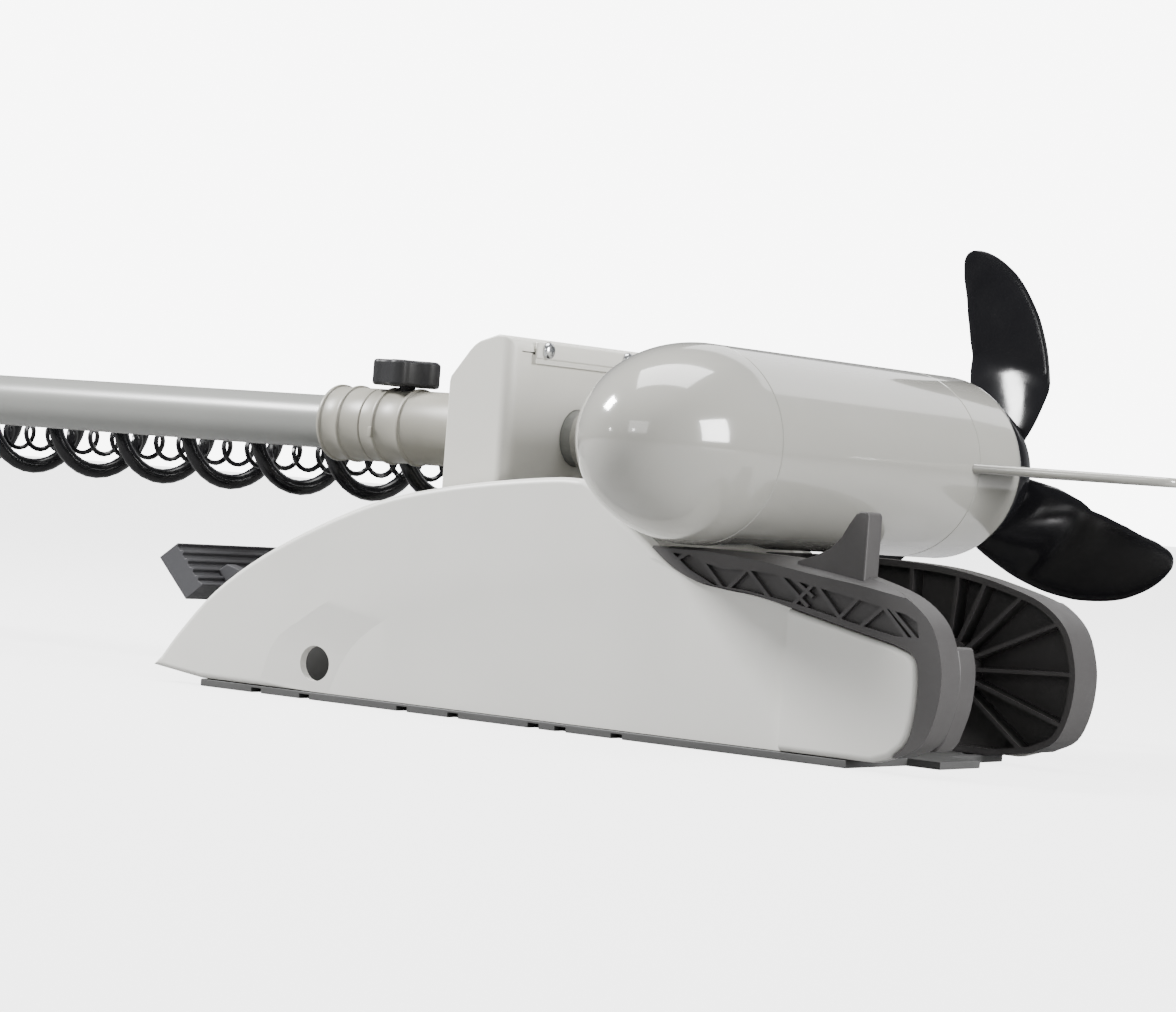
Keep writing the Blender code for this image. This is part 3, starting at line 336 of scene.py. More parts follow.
def swept(name: str, outline: Sequence[Point2], low: float, high: float,
          axis: Axis = Axis.Y) -> bpy.types.Object:
    """An outline filled and extruded along an axis.

    Args:
        name: The new piece's name.
        outline: Its points, on the two axes other than the sweep's, in the order X, Y, Z.
        low: Where the sweep starts.
        high: Where it ends.
        axis: The axis of the sweep.

    Returns:
        The piece.
    """
    place = {
        Axis.X: lambda u, v: (low, u, v),
        Axis.Y: lambda u, v: (u, low, v),
        Axis.Z: lambda u, v: (u, v, low),
    }[axis]
    piece = draw_line(name, [place(u, v) for u, v in outline])
    bpy.ops.mesh.select_all(action="SELECT")
    bpy.ops.mesh.edge_face_add()
    step = Vector(axis.value) * (high - low)
    bpy.ops.mesh.extrude_region_move(TRANSFORM_OT_translate={"value": step})
    finish_edit(piece)
    return piece


def spun(name: str, profile: Sequence[Point2], axis: Axis, centre: Point3,
         steps: int = 96) -> bpy.types.Object:
    """A closed profile spun a full turn about an axis.

    Args:
        name: The new piece's name.
        profile: (radius, distance along the axis) pairs round the section.
        axis: The axis it is spun about.
        centre: A point on the axis, from which the distances count.
        steps: The number of sides.

    Returns:
        The piece.
    """
    middle = Vector(centre)
    outward = Vector((0.0, 0.0, 1.0)) if axis is not Axis.Z else Vector((1.0, 0.0, 0.0))
    along = Vector(axis.value)
    points = [middle + outward * r + along * t for r, t in profile]
    if profile[0][0] > 0 or profile[-1][0] > 0:
        points.append(points[0])
    piece = draw_line(name, points)
    bpy.ops.mesh.select_all(action="SELECT")
    bpy.ops.mesh.spin(steps=steps, angle=2.0 * math.pi, center=middle, axis=along)
    finish_edit(piece)
    return piece


def box_piece(name: str, low: Point3, high: Point3) -> bpy.types.Object:
    """A box between two corners, from a cube resized and moved into place."""
    clear_bench()
    middle = (Vector(low) + Vector(high)) / 2
    bpy.ops.mesh.primitive_cube_add(size=1.0, location=middle)
    piece = bpy.context.object
    piece.name = name
    piece.scale = Vector(high) - Vector(low)
    settle(piece)
    return piece


def rod_piece(name: str, radius: float, low: float, high: float, axis: Axis, centre: Point3,
              sides: int = 48) -> bpy.types.Object:
    """A solid rod between two distances along an axis through a point."""
    profile = [(0.0, low), (radius, low), (radius, high), (0.0, high)]
    return spun(name, profile, axis, centre, sides)


def settle(piece: bpy.types.Object) -> None:
    """Moves a piece's place, turn and scale into its mesh."""
    take(piece)
    bpy.ops.object.transform_apply(location=True, rotation=True, scale=True)


def apply_step(piece: bpy.types.Object, kind: str, **settings) -> None:
    """Adds a modifier of a kind with some settings and applies it."""
    take(piece)
    step = piece.modifiers.new(kind.lower(), kind)
    for key, value in settings.items():
        setattr(step, key, value)
    bpy.ops.object.modifier_apply(modifier=step.name)


def soften(piece: bpy.types.Object, width: float, segments: int = 3, angle: float = 32.0) -> None:
    """Rounds a piece's sharp edges."""
    apply_step(piece, "BEVEL", width=width, segments=segments, limit_method="ANGLE",
               angle_limit=math.radians(angle), use_clamp_overlap=True)


def carve(piece: bpy.types.Object, *tools: bpy.types.Object, add: bool = False) -> None:
    """Takes each tool's shape out of a piece, or adds it, and clears the tool away."""
    for tool in tools:
        apply_step(piece, "BOOLEAN", object=tool, operation="UNION" if add else "DIFFERENCE",
                   solver="EXACT")
        bpy.data.objects.remove(tool, do_unlink=True)


def weld_on(piece: bpy.types.Object, *tools: bpy.types.Object) -> None:
    """Adds each tool's shape to a piece and clears the tool away."""
    carve(piece, *tools, add=True)


def select_none(piece: bpy.types.Object) -> None:
    """Deselects all of a piece's points, edges and faces."""
    for item in (*piece.data.vertices, *piece.data.edges, *piece.data.polygons):
        item.select = False


def round_selected(piece: bpy.types.Object, kind: str, width: float, segments: int) -> None:
    """Rounds the edges that are selected on a piece, by points or by edges."""
    take(piece)
    bpy.ops.object.mode_set(mode="EDIT")
    bpy.ops.mesh.select_mode(type=kind)
    bpy.ops.mesh.bevel(offset=width, segments=segments, affect="EDGES", clamp_overlap=True)
    finish_edit(piece)


def copied(piece: bpy.types.Object, name: str, move: Matrix) -> bpy.types.Object:
    """A copy of a piece with its own mesh, moved or turned.

    Args:
        piece: The piece that is copied.
        name: The copy's name.
        move: How it is moved or turned.

    Returns:
        The copy.
    """
    made = piece.copy()
    made.data = piece.data.copy()
    made.name = name
    made.data.name = name
    bpy.context.scene.collection.objects.link(made)
    made.data.transform(move)
    return made


def shade(piece: bpy.types.Object, angle: float = 30.0) -> None:
    """Shades a piece smooth across its gentle edges."""
    take(piece)
    bpy.ops.object.shade_smooth_by_angle(angle=math.radians(angle))


def fit(piece: bpy.types.Object, finish: Finish, slot: str, body: Body, *nodes: str) -> None:
    """Dresses a finished piece, lets it ride on its body and stand for its CAD nodes.

    Args:
        piece: The finished piece.
        finish: Its finish.
        slot: The record's material slot; not used.
        body: The body that it moves with.
        nodes: The CAD nodes that it replaces.
    """
    finish.dress(piece)
    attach(piece, body.value)
    if nodes:
        piece.name = f"{nodes[0]}_look"
        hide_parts(*nodes)
    log.info("%s: %d faces on %s", piece.name, len(piece.data.polygons), body.value)


# ------------------------------------------------------------------ drawing helpers
def smooth(points: Sequence[Sequence[float]], steps: int = 3) -> list[tuple[float, ...]]:
    """A Catmull-Rom curve through points, with both ends kept."""
    path = [Vector(p) for p in points]
    path = [2 * path[0] - path[1], *path, 2 * path[-1] - path[-2]]
    made = []
    for a, b, c, d in zip(path, path[1:], path[2:], path[3:]):
        for i in range(steps):
            t = i / steps
            made.append(0.5 * ((2 * b) + (c - a) * t + (2 * a - 5 * b + 4 * c - d) * t**2
                               + (3 * b - a - 3 * c + d) * t**3))
    made.append(path[-2])
    return [tuple(p) for p in made]


def offset(outline: Sequence[Point2], distance: float) -> list[Point2]:
    """A closed outline moved outward by a distance, or inward if it is negative."""
    area = sum(a[0] * b[1] - b[0] * a[1]
               for a, b in zip(outline, [*outline[1:], outline[0]]))
    side = 1 if area > 0 else -1
    moved = []
    for i, point in enumerate(outline):
        before = Vector(point) - Vector(outline[i - 1])
        after = Vector(outline[(i + 1) % len(outline)]) - Vector(point)
        n1 = Vector((before.y, -before.x)).normalized() * side
        n2 = Vector((after.y, -after.x)).normalized() * side
        middle = (n1 + n2).normalized()
        moved.append(tuple(Vector(point) + middle * distance / max(0.5, middle.dot(n1))))
    return moved


def bar_outline(a: Point2, b: Point2, width: float, reach: float = 0.0) -> list[Point2]:
    """The four corners of a bar of a width between two points, lengthened by reach at each end."""
    start, end = Vector(a), Vector(b)
    along = (end - start).normalized()
    across = Vector((-along.y, along.x)) * width / 2
    start, end = start - along * reach, end + along * reach
    return [tuple(start - across), tuple(end - across), tuple(end + across), tuple(start + across)]


def height_on(curve: Sequence[Point2], x: float) -> float:
    """The Z of a curve of (X, Z) points at X."""
    for (x0, z0), (x1, z1) in zip(curve, curve[1:]):
        if min(x0, x1) <= x <= max(x0, x1):
            return z0 + (z1 - z0) * (x - x0) / (x1 - x0)
    return curve[0][1]


def read(stops: Sequence[Point2], share: float) -> float:
    """The value at a share along (share, value) stops, on a straight line between each two."""
    for (s0, v0), (s1, v1) in zip(stops, stops[1:]):
        if share <= s1:
            return v0 + (v1 - v0) * (share - s0) / (s1 - s0)
    return stops[-1][1]


def eased(share: float) -> float:
    """A share from 0 to 1, eased at both ends."""
    share = min(1.0, max(0.0, share))
    return share * share * (3.0 - 2.0 * share)


def mirrored(low: float, high: float, side: Side) -> tuple[float, float]:
    """A Y range on the near or the far side, in rising order."""
    ends = sorted((side.value * low, side.value * high))
    return ends[0], ends[1]


# ------------------------------------------------------------------ formed sheets
def formed_sheet(name: str, columns: int, rows: int,
                 place: Callable[[float, float], Point3]) -> bpy.types.Object:
    """A grid whose points are each moved to where a rule puts them.

    Args:
        name: The new piece's name.
        columns: The number of cells along the first way.
        rows: The number of cells along the second way.
        place: The rule, from two shares of 0 to 1 to a point.

    Returns:
        The sheet.
    """
    clear_bench()
    bpy.ops.mesh.primitive_grid_add(x_subdivisions=columns, y_subdivisions=rows, size=1.0)
    piece = bpy.context.object
    piece.name = name
    piece.data.name = name
    for point in piece.data.vertices:
        point.co = place(point.co.x + 0.5, point.co.y + 0.5)
    return piece


def thicken(piece: bpy.types.Object, step: Point3) -> bpy.types.Object:
    """Extrudes a whole sheet by a step into a closed solid."""
    take(piece)
    bpy.ops.object.mode_set(mode="EDIT")
    bpy.ops.mesh.select_all(action="SELECT")
    bpy.ops.mesh.extrude_region_move(TRANSFORM_OT_translate={"value": step})
    finish_edit(piece)
    return piece


def curve_at(points: Sequence[Point2], share: float) -> Vector:
    """The point at a share of a curve's length."""
    path = [Vector(p) for p in points]
    lengths = [(b - a).length for a, b in zip(path, path[1:])]
    left = share * sum(lengths)
    for a, b, length in zip(path, path[1:], lengths):
        if left <= length:
            return a.lerp(b, left / length)
        left -= length
    return path[-1]


def even_shading(piece: bpy.types.Object, angle: float = 30.0) -> None:
    """Shades a piece smooth with its large flat faces kept flat."""
    shade(piece, angle)
    apply_step(piece, "WEIGHTED_NORMAL", keep_sharp=True, weight=60)


# ------------------------------------------------------------------ mount outlines, X and Z
COVER_SWEEP = smooth([
    (-0.346, 0.014), (-0.333, 0.030), (-0.310, 0.053), (-0.279, 0.074), (-0.239, 0.094),
    (-0.199, 0.1095), (-0.159, 0.1188), (-0.120, 0.1248), (-0.085, 0.1285), (-0.068, 0.1285),
], 4)
COVER_DIP = smooth([
    (-0.060, 0.125), (-0.047, 0.113), (-0.027, 0.0995), (-0.012, 0.089), (0.0035, 0.0822),
    (0.022, 0.0795), (0.0433, 0.0772), (0.0784, 0.0695), (0.1195, 0.0608),
], 4)
COVER_NOSE = smooth([
    (0.1195, 0.0608), (0.1297, 0.0570), (0.1335, 0.050), (0.1338, 0.032), (0.1306, 0.0165),
    (0.122, 0.0075),
], 4)[1:]
COVER_OUTLINE = [
    (-0.352, 0.0086), *COVER_SWEEP, *COVER_DIP, *COVER_NOSE, (0.112, COVER_BOTTOM),
    (-0.316, COVER_BOTTOM),
]
SWOOSH_CREST = smooth([
    (-0.2770, -0.0080), (-0.2708, 0.0117), (-0.2634, 0.0296), (-0.2469, 0.0418), (-0.2239, 0.0561),
    (-0.1942, 0.0674), (-0.1483, 0.0773), (-0.1034, 0.0833), (-0.0232, 0.0918), (0.0600, 0.1000),
], 4)
SWOOSH_FOOT = smooth([
    (-0.2330, -0.0080), (-0.2259, 0.0063), (-0.2143, 0.0287), (-0.1921, 0.0465), (-0.1598, 0.0597),
    (-0.1341, 0.0670), (-0.0961, 0.0736), (-0.0526, 0.0785), (0.0000, 0.0843), (0.0600, 0.0900),
], 4)
RAMP_TOP = smooth([
    (-0.041, 0.0973), (-0.008, 0.0988), (0.028, 0.0991), (0.060, 0.0981), (0.080, 0.0958),
    (0.100, 0.0918), (0.121, 0.0857), (0.1335, 0.0785), (0.1415, 0.0695), (0.1460, 0.0570),
    (0.1475, 0.0450), (0.1455, 0.0290), (0.1390, 0.0150), (0.1260, 0.0080),
], 4)
RAMP_OUTLINE = [*RAMP_TOP, (0.104, COVER_BOTTOM), (-0.041, COVER_BOTTOM)]
SHOULDER_EDGE = [
    (-0.045, 0.0968), (0.0088, 0.0975), (0.0432, 0.0944), (0.0717, 0.0899), (0.0995, 0.0870),
    (0.1235, 0.0838), (0.1354, 0.0811),
]
PANEL_OUTLINE = [
    (0.0005, 0.0950), (0.0102, 0.0917), (0.0204, 0.0897), (0.0346, 0.0902), (0.0506, 0.0893),
    (0.0791, 0.0843), (0.1070, 0.0795), (0.1259, 0.0760), (0.1320, 0.0729), (0.1336, 0.0655),
    (0.1200, 0.0655), (0.0978, 0.0695), (0.0626, 0.0765), (0.0339, 0.0805), (0.0159, 0.0815),
    (0.0007, 0.0880), (-0.0100, 0.0955),
]
PANEL_RIBS = [
    ((-0.0060, 0.0930), (0.0040, 0.0990)), ((0.0024, 0.0982), (0.0203, 0.0807)),
    ((0.0248, 0.0810), (0.0347, 0.0908)), ((0.0347, 0.0908), (0.0480, 0.0780)),
    ((0.0506, 0.0913), (0.0676, 0.0778)), ((0.0649, 0.0783), (0.0737, 0.0871)),
    ((0.0596, 0.0890), (0.0698, 0.0824)), ((0.0737, 0.0871), (0.0890, 0.0715)),
    ((0.0890, 0.0715), (0.0990, 0.0820)), ((0.1036, 0.0705), (0.1130, 0.0786)),
    ((0.1130, 0.0786), (0.1268, 0.0652)), ((0.1164, 0.0788), (0.1327, 0.0643)),
]
SPOKE_ENDS = [
    (0.0765, 0.0980), (0.0945, 0.0960), (0.1180, 0.0900), (0.1410, 0.0765), (0.1460, 0.0493),
    (0.1410, 0.0232), (0.1180, 0.0100),
]
UPRIGHTS = (0.0488, 0.0180, -0.0100)
FIN_OUTLINE = [
    (0.0995, 0.0860), (0.0995, 0.1210), (0.0985, 0.1230), (0.0945, 0.1230), (0.0920, 0.1215),
    (0.0885, 0.1165), (0.0850, 0.1105), (0.0790, 0.1042), (0.0700, 0.0998), (0.0610, 0.0970),
    (0.0610, 0.0860),
]
BUMPER_OUTLINE = [
    (0.1330, 0.0590), (0.1355, 0.0612), (0.1400, 0.0622), *smooth([
        (0.1445, 0.0620), (0.1470, 0.0500), (0.1460, 0.0330), (0.1410, 0.0170),
    ], 4), (0.1375, 0.0120), (0.1330, 0.0110),
]


# ------------------------------------------------------------------ mount
@dataclass
class SideCover:
    """A moulded side cover: a swept wall with a stepped swoosh across it and an access hole."""

    side: Side
    wall: float = 0.0030
    rim: float = 0.0034
    step: float = 0.0034
    crest_lift: float = 0.25
    foot_drop: float = 0.16
    hole_radius: float = 0.0095
    hole_at: Point2 = (-0.2365, 0.0195)

    @property
    def name(self) -> str:
        """The cover's name."""
        return f"{self.side.name.lower()}_side_cover"

    def round_rim(self, piece: bpy.types.Object) -> None:
        """Rounds the outer face's whole edge."""
        select_none(piece)
        for face in piece.data.polygons:
            if face.normal.y * self.side.value > 0.9:
                face.select = True
                for i in face.vertices:
                    piece.data.vertices[i].select = True
        round_selected(piece, "VERT", self.rim, 5)

    def swoosh(self) -> bpy.types.Object:
        """The tool that takes the stepped area out of the cover's outer face."""
        outer = self.side.value * MOUNT_HALF_WIDTH
        inward = -self.side.value * self.step

        def place(u: float, v: float) -> Point3:
            """The tool's lower face, from above the crest down over the foot."""
            crest, foot = curve_at(SWOOSH_CREST, u), curve_at(SWOOSH_FOOT, u)
            if v < 0.25:
                start = crest + (crest - foot) * self.crest_lift
                return (start.x, outer - inward * self.crest_lift, start.y)
            if v < 0.75:
                return (foot.x, outer + inward, foot.y)
            return (foot.x, outer + inward, foot.y - self.foot_drop)

        sheet = formed_sheet("swoosh", 44, 2, place)
        return thicken(sheet, (0.0, self.side.value * 0.02, 0.0))

    def build(self) -> bpy.types.Object:
        """Makes the cover.

        Returns:
            The cover.
        """
        outer = self.side.value * MOUNT_HALF_WIDTH
        inner = self.side.value * (MOUNT_HALF_WIDTH - COVER_DEPTH)
        piece = swept(self.name, COVER_OUTLINE, inner, outer)
        self.round_rim(piece)
        carve(piece, self.swoosh())
        floor = outer - self.side.value * (self.wall + self.step)
        hollow = swept("hollow", offset(COVER_OUTLINE, -self.wall - 0.0008),
                       inner - self.side.value * 0.005, floor)
        x, z = self.hole_at
        bore = rod_piece("bore", self.hole_radius, *mirrored(0.05, 0.09, self.side), Axis.Y,
                         (x, 0.0, z), 64)
        carve(piece, hollow, bore)
        self.mark_creases(piece)
        fit(piece, COVER_WHITE, "cover_white_plastic", Body.MOUNT, self.name)
        return piece

    def mark_creases(self, piece: bpy.types.Object) -> None:
        """Keeps the swoosh's shallow creases crisp and the rounded rim smooth."""
        shade(piece, 30.0)
        normals = {}
        for face in piece.data.polygons:
            for key in face.edge_keys:
                normals.setdefault(key, []).append(face.normal)
        for edge in piece.data.edges:
            sides = normals.get(edge.key, [])
            flat = len(sides) == 2 and all(abs(n.y) > 0.99 for n in sides)
            if flat and sides[0].angle(sides[1]) > math.radians(1.0):
                edge.use_edge_sharp = True
        apply_step(piece, "WEIGHTED_NORMAL", keep_sharp=True, weight=60)


@dataclass
class RampPlate:
    """A ramp plate that the motor rests on, with a ribbed panel outside and spokes inside."""

    side: Side
    thickness: float
    rib: float = 0.0020
    rim: float = 0.0032
    panel_depth: float = 0.0030
    panel_rib: float = 0.0018
    boss_radius: float = 0.016
    fin_span: Point2 = (-0.0760, -0.0630)
    shoulder: float = 0.0075

    @property
    def name(self) -> str:
        """The plate's name."""
        return f"{self.side.name.lower()}_ramp"

    def slope(self) -> bpy.types.Object:
        """The tool that slopes the top outer edge down to its line on the outer face."""
        sign = self.side.value

        def place(u: float, v: float) -> Point3:
            """The slope, from outside the face in to the flat top."""
            edge = curve_at(SHOULDER_EDGE, u)
            top = Vector((edge.x, height_on(RAMP_TOP, edge.x)))
            drop = top.y - edge.y
            ease = self.shoulder * min(1.0, 0.25 + drop / 0.006)
            inward = MOUNT_HALF_WIDTH + 0.004 - (ease + 0.004) * v
            bow = 0.18 * drop * math.sin(math.pi * min(1.0, v * 1.1))
            rise = (inward - MOUNT_HALF_WIDTH) / -ease
            return (edge.x, sign * inward, edge.y + drop * rise * 1.02 + bow)

        sheet = formed_sheet("slope", 30, 6, place)
        return thicken(sheet, (0.0, 0.0, 0.03))

    def panel(self) -> bpy.types.Object:
        """The ribbed recess in the outer face."""
        low = MOUNT_HALF_WIDTH - self.panel_depth
        tool = swept("panel", PANEL_OUTLINE, *mirrored(low, MOUNT_HALF_WIDTH + 0.004, self.side))
        for a, b in PANEL_RIBS:
            carve(tool, swept("rib", bar_outline(a, b, self.panel_rib, 0.004),
                              *mirrored(low - 0.002, MOUNT_HALF_WIDTH + 0.006, self.side)))
        return tool

    def pocket(self) -> bpy.types.Object:
        """The inner pocket round the spokes, the uprights and the pivot's boss."""
        inner = MOUNT_HALF_WIDTH - self.thickness
        deep = REBATE - 0.002
        tool = swept("pocket", offset(RAMP_OUTLINE, -self.rim),
                     *mirrored(inner - 0.004, deep, self.side))
        span = mirrored(inner - 0.006, deep + 0.002, self.side)
        for end in SPOKE_ENDS:
            start = Vector(PIVOT).lerp(Vector(end), 0.15)
            carve(tool, swept("spoke", bar_outline(tuple(start), end, self.rib, 0.006), *span))
        for x in UPRIGHTS:
            carve(tool, swept("upright", bar_outline((x, -0.01), (x, 0.12), self.rib), *span))
        carve(tool, rod_piece("boss", self.boss_radius, *span, Axis.Y,
                              (PIVOT[0], 0.0, PIVOT[1]), 64))
        return tool

    def build(self) -> bpy.types.Object:
        """Makes the plate.

        Returns:
            The plate.
        """
        inner = MOUNT_HALF_WIDTH - self.thickness
        piece = swept(self.name, RAMP_OUTLINE, *mirrored(inner, MOUNT_HALF_WIDTH, self.side))
        carve(piece, self.slope())
        soften(piece, 0.0012, 3, 24.0)
        if self.side is Side.NEAR:
            fin = swept("fin", FIN_OUTLINE, *self.fin_span)
            soften(fin, 0.0009, 3)
            weld_on(piece, fin)
        rebate = swept("rebate", offset(COVER_OUTLINE, 0.0008),
                       *mirrored(REBATE, MOUNT_HALF_WIDTH + 0.01, self.side))
        bore = rod_piece("bore", PIN_BORE, *mirrored(0.03, 0.1, self.side), Axis.Y,
                         (PIVOT[0], 0.0, PIVOT[1]), 48)
        carve(piece, rebate, self.pocket(), self.panel(), bore)
        even_shading(piece)
        fit(piece, RAMP_GREY, "ramp_grey_plastic", Body.MOUNT, self.name)
        return piece


@dataclass
class BaseTray:
    """The extruded base plate, with side notches, bolt holes and a tongue at the bow."""

    thickness: float = 0.004
    half_width: float = 0.0775
    tongue_half: float = 0.020
    rear: float = -0.316
    front: float = 0.098
    tongue_end: float = 0.117
    hole_radius: float = 0.0045
    hole_line: float = 0.052
    notch_width: float = 0.007
    notches: tuple[float, ...] = (-0.279, -0.245, -0.178, -0.144, -0.092, -0.075, -0.040)
    holes: tuple[float, ...] = (-0.2365, -0.060, 0.090)

    def build(self) -> bpy.types.Object:
        """Makes the plate.

        Returns:
            The plate.
        """
        far_half = [(self.tongue_end, self.tongue_half), (self.front, self.tongue_half),
                    (self.front, self.half_width), (self.rear, self.half_width)]
        outline = [*((x, -y) for x, y in reversed(far_half)), *far_half]
        piece = swept("base_plate", outline, 0.0, self.thickness, Axis.Z)
        soften(piece, 0.0006, 2)
        for x in self.notches:
            for side in Side:
                low, high = mirrored(0.0700, 0.0820, side)
                carve(piece, box_piece("notch", (x, low, -0.002),
                                       (x + self.notch_width, high, 0.0027)))
        for x in self.holes:
            for side in Side:
                carve(piece, rod_piece("bolt_hole", self.hole_radius, -0.01, 0.02, Axis.Z,
                                       (x, side.value * self.hole_line, 0.0), 32))
        even_shading(piece)
        fit(piece, TRAY_ALUMINIUM, "anodised_aluminium", Body.MOUNT, "base_plate")
        return piece


def build_bumper() -> bpy.types.Object:
    """Makes the block inside the near plate's bow end.

    Returns:
        The block.
    """
    piece = swept("bow_block", BUMPER_OUTLINE, -0.0612, -0.0450)
    soften(piece, 0.0014, 4, 28.0)
    even_shading(piece)
    fit(piece, RAMP_GREY, "ramp_grey_plastic", Body.MOUNT, "bow_block")
    return piece


def build_mount() -> None:
    """Makes the mount's visible pieces."""
    for side, thickness in ((Side.NEAR, 0.0175), (Side.FAR, 0.0240)):
        RampPlate(side, thickness).build()
        SideCover(side).build()
    BaseTray().build()
    build_bumper()


# ------------------------------------------------------------------ steering head
@dataclass
class SteeringHousing:
    """The painted housing round the steering drive, with its cap, screws and cord glands."""

    back: float = -0.170
    half_width: float = 0.064
    top: float = 0.2007
    floor: float = 0.100
    wall: float = 0.004
    front_round: float = 0.0065
    edge_round: float = 0.0012
    cap_half: float = 0.055
    cap_foot: float = 0.105
    cap_top: float = 0.1925
    strip_half: float = 0.045
    strip_face: float = -0.1275
    lug_half: float = 0.044
    lug_radius: float = 0.015
    pin_at: Point2 = (-0.150, 0.070)

    def shell(self) -> bpy.types.Object:
        """Makes the shell with its hollow, cap seat and bores."""
        corner = [(self.back, 0.1745), (self.back + 0.0007, 0.1775), (-0.1580, 0.1915),
                  (-0.1550, 0.1945), (-0.1515, 0.1967), (-0.1400, self.top - 0.0003)]
        outline = [(self.back, self.floor), *corner, (HOUSING_FRONT, self.top - 0.0008),
                   (HOUSING_FRONT, self.floor)]
        piece = swept("steering_housing", outline, -self.half_width, self.half_width)
        self.round_front(piece)
        x, z = self.pin_at
        r, steps = self.lug_radius, 16
        round_end = [(x - r * math.cos(math.pi * i / steps), z - r * math.sin(math.pi * i / steps))
                     for i in range(steps + 1)]
        lug = swept("lug", [(x - r, self.floor + 0.006), *round_end, (x + r, self.floor + 0.006)],
                    -self.lug_half, self.lug_half)
        weld_on(piece, lug)
        carve(
            piece,
            box_piece("hollow", (self.back + self.wall, -self.cap_half + 0.004, 0.112),
                      (-0.10, self.cap_half - 0.004, 0.188)),
            box_piece("seat", (HOUSING_FRONT - 0.0037, -self.cap_half - GAP, self.cap_foot - GAP),
                      (-0.10, self.cap_half + GAP, self.cap_top + GAP)),
            rod_piece("bore", SHAFT_BORE, -0.2, 0.0, Axis.X, MOTOR_CENTRE, 64),
            rod_piece("pin_bore", PIN_BORE, -0.1, 0.1, Axis.Y, (x, 0.0, z), 40),
        )
        even_shading(piece)
        fit(piece, HOUSING_WHITE, "housing_white_paint", Body.STEERING, "steering_housing")
        return piece

    def round_front(self, piece: bpy.types.Object) -> None:
        """Rounds the front face's upright edges widely and the rest narrowly."""
        select_none(piece)
        for edge in piece.data.edges:
            a, b = (piece.data.vertices[i].co for i in edge.vertices)
            edge.select = abs(a.y - b.y) < 1e-6 and min(a.x, b.x) > HOUSING_FRONT - 1e-6
        round_selected(piece, "EDGE", self.front_round, 6)
        soften(piece, self.edge_round, 3, 26.0)

    def cap(self) -> bpy.types.Object:
        """Makes the front cap with its raised screw strip."""
        face, back, half = HOUSING_FRONT - 0.0010, HOUSING_FRONT - 0.0034, self.strip_half
        piece = box_piece("housing_cap", (back, -self.cap_half, self.cap_foot),
                          (face, self.cap_half, self.cap_top))
        soften(piece, 0.0007, 2)
        neck = box_piece("neck", (face - 0.001, -half, 0.187),
                         (self.strip_face - 0.001, half, 0.1915))
        strip = box_piece("strip", (HOUSING_FRONT + GAP, -half, 0.1895),
                          (self.strip_face, half, 0.1985))
        soften(strip, 0.0011, 4)
        weld_on(piece, neck, strip)
        carve(piece, rod_piece("bore", SHAFT_BORE, -0.2, 0.0, Axis.X, MOTOR_CENTRE, 64))
        even_shading(piece)
        fit(piece, HOUSING_WHITE, "housing_white_paint", Body.STEERING, "housing_cap")
        return piece

    def screws(self) -> None:
        """Makes one pan-head screw with a cross recess and copies it to the four places."""
        profile = [(0.0, GAP), (0.0045, GAP), (0.0045, 0.0009), (0.0042, 0.0017),
                   (0.0034, 0.0024), (0.0020, 0.0028), (0.0, 0.0029)]
        pattern = spun("screw", profile, Axis.X, (0.0, 0.0, 0.0), 40)
        for long, high in ((0.0023, 0.0005), (0.0005, 0.0023)):
            carve(pattern, box_piece("recess", (0.0013, -long, -high), (0.006, long, high)))
        shade(pattern)
        for row, face, y, z in (("upper", self.strip_face, 0.0363, 0.1942),
                                ("lower", HOUSING_FRONT - 0.0010, 0.046, 0.112)):
            for side in Side:
                name = f"cap_screw_{row}_{side.name.lower()}"
                move = Matrix.Translation((face, side.value * y, z))
                fit(copied(pattern, name, move), STEEL, "stainless_steel", Body.STEERING, name)
        bpy.data.objects.remove(pattern, do_unlink=True)

    def glands(self) -> None:
        """Makes the ribbed gland of the heavy cord and the grommet of the fine one."""
        start = self.back - GAP
        ribs = [(0.0075, start), (0.0075, start - 0.0036), (0.0070, start - 0.0041)]
        for i in range(4):
            x = start - 0.0050 - 0.0028 * i
            radius = 0.0062 - 0.0003 * i
            ribs += [(radius - 0.0006, x + 0.0004), (radius, x), (radius, x - 0.0013),
                     (radius - 0.0006, x - 0.0017)]
        end, *place = CORD_EXIT
        gland = spun("cord_gland", [(0.0, start), *ribs, (0.0046, end), (0.0, end)], Axis.X,
                     (0.0, *place), 48)
        shade(gland)
        fit(gland, BLACK_MOULDING, "black_plastic", Body.STEERING, "cord_gland")
        grommet = spun("signal_grommet", [
            (0.0, start), (0.0040, start), (0.0040, start - 0.0012), (0.0034, start - 0.0020),
            (0.0022, start - 0.0034), (0.0, start - 0.0034),
        ], Axis.X, (0.0, *SIGNAL_PLACE), 32)
        shade(grommet)
        fit(grommet, BLACK_MOULDING, "black_plastic", Body.STEERING)

    def build(self) -> None:
        """Makes the whole housing."""
        self.shell()
        self.cap()
        self.screws()
        self.glands()


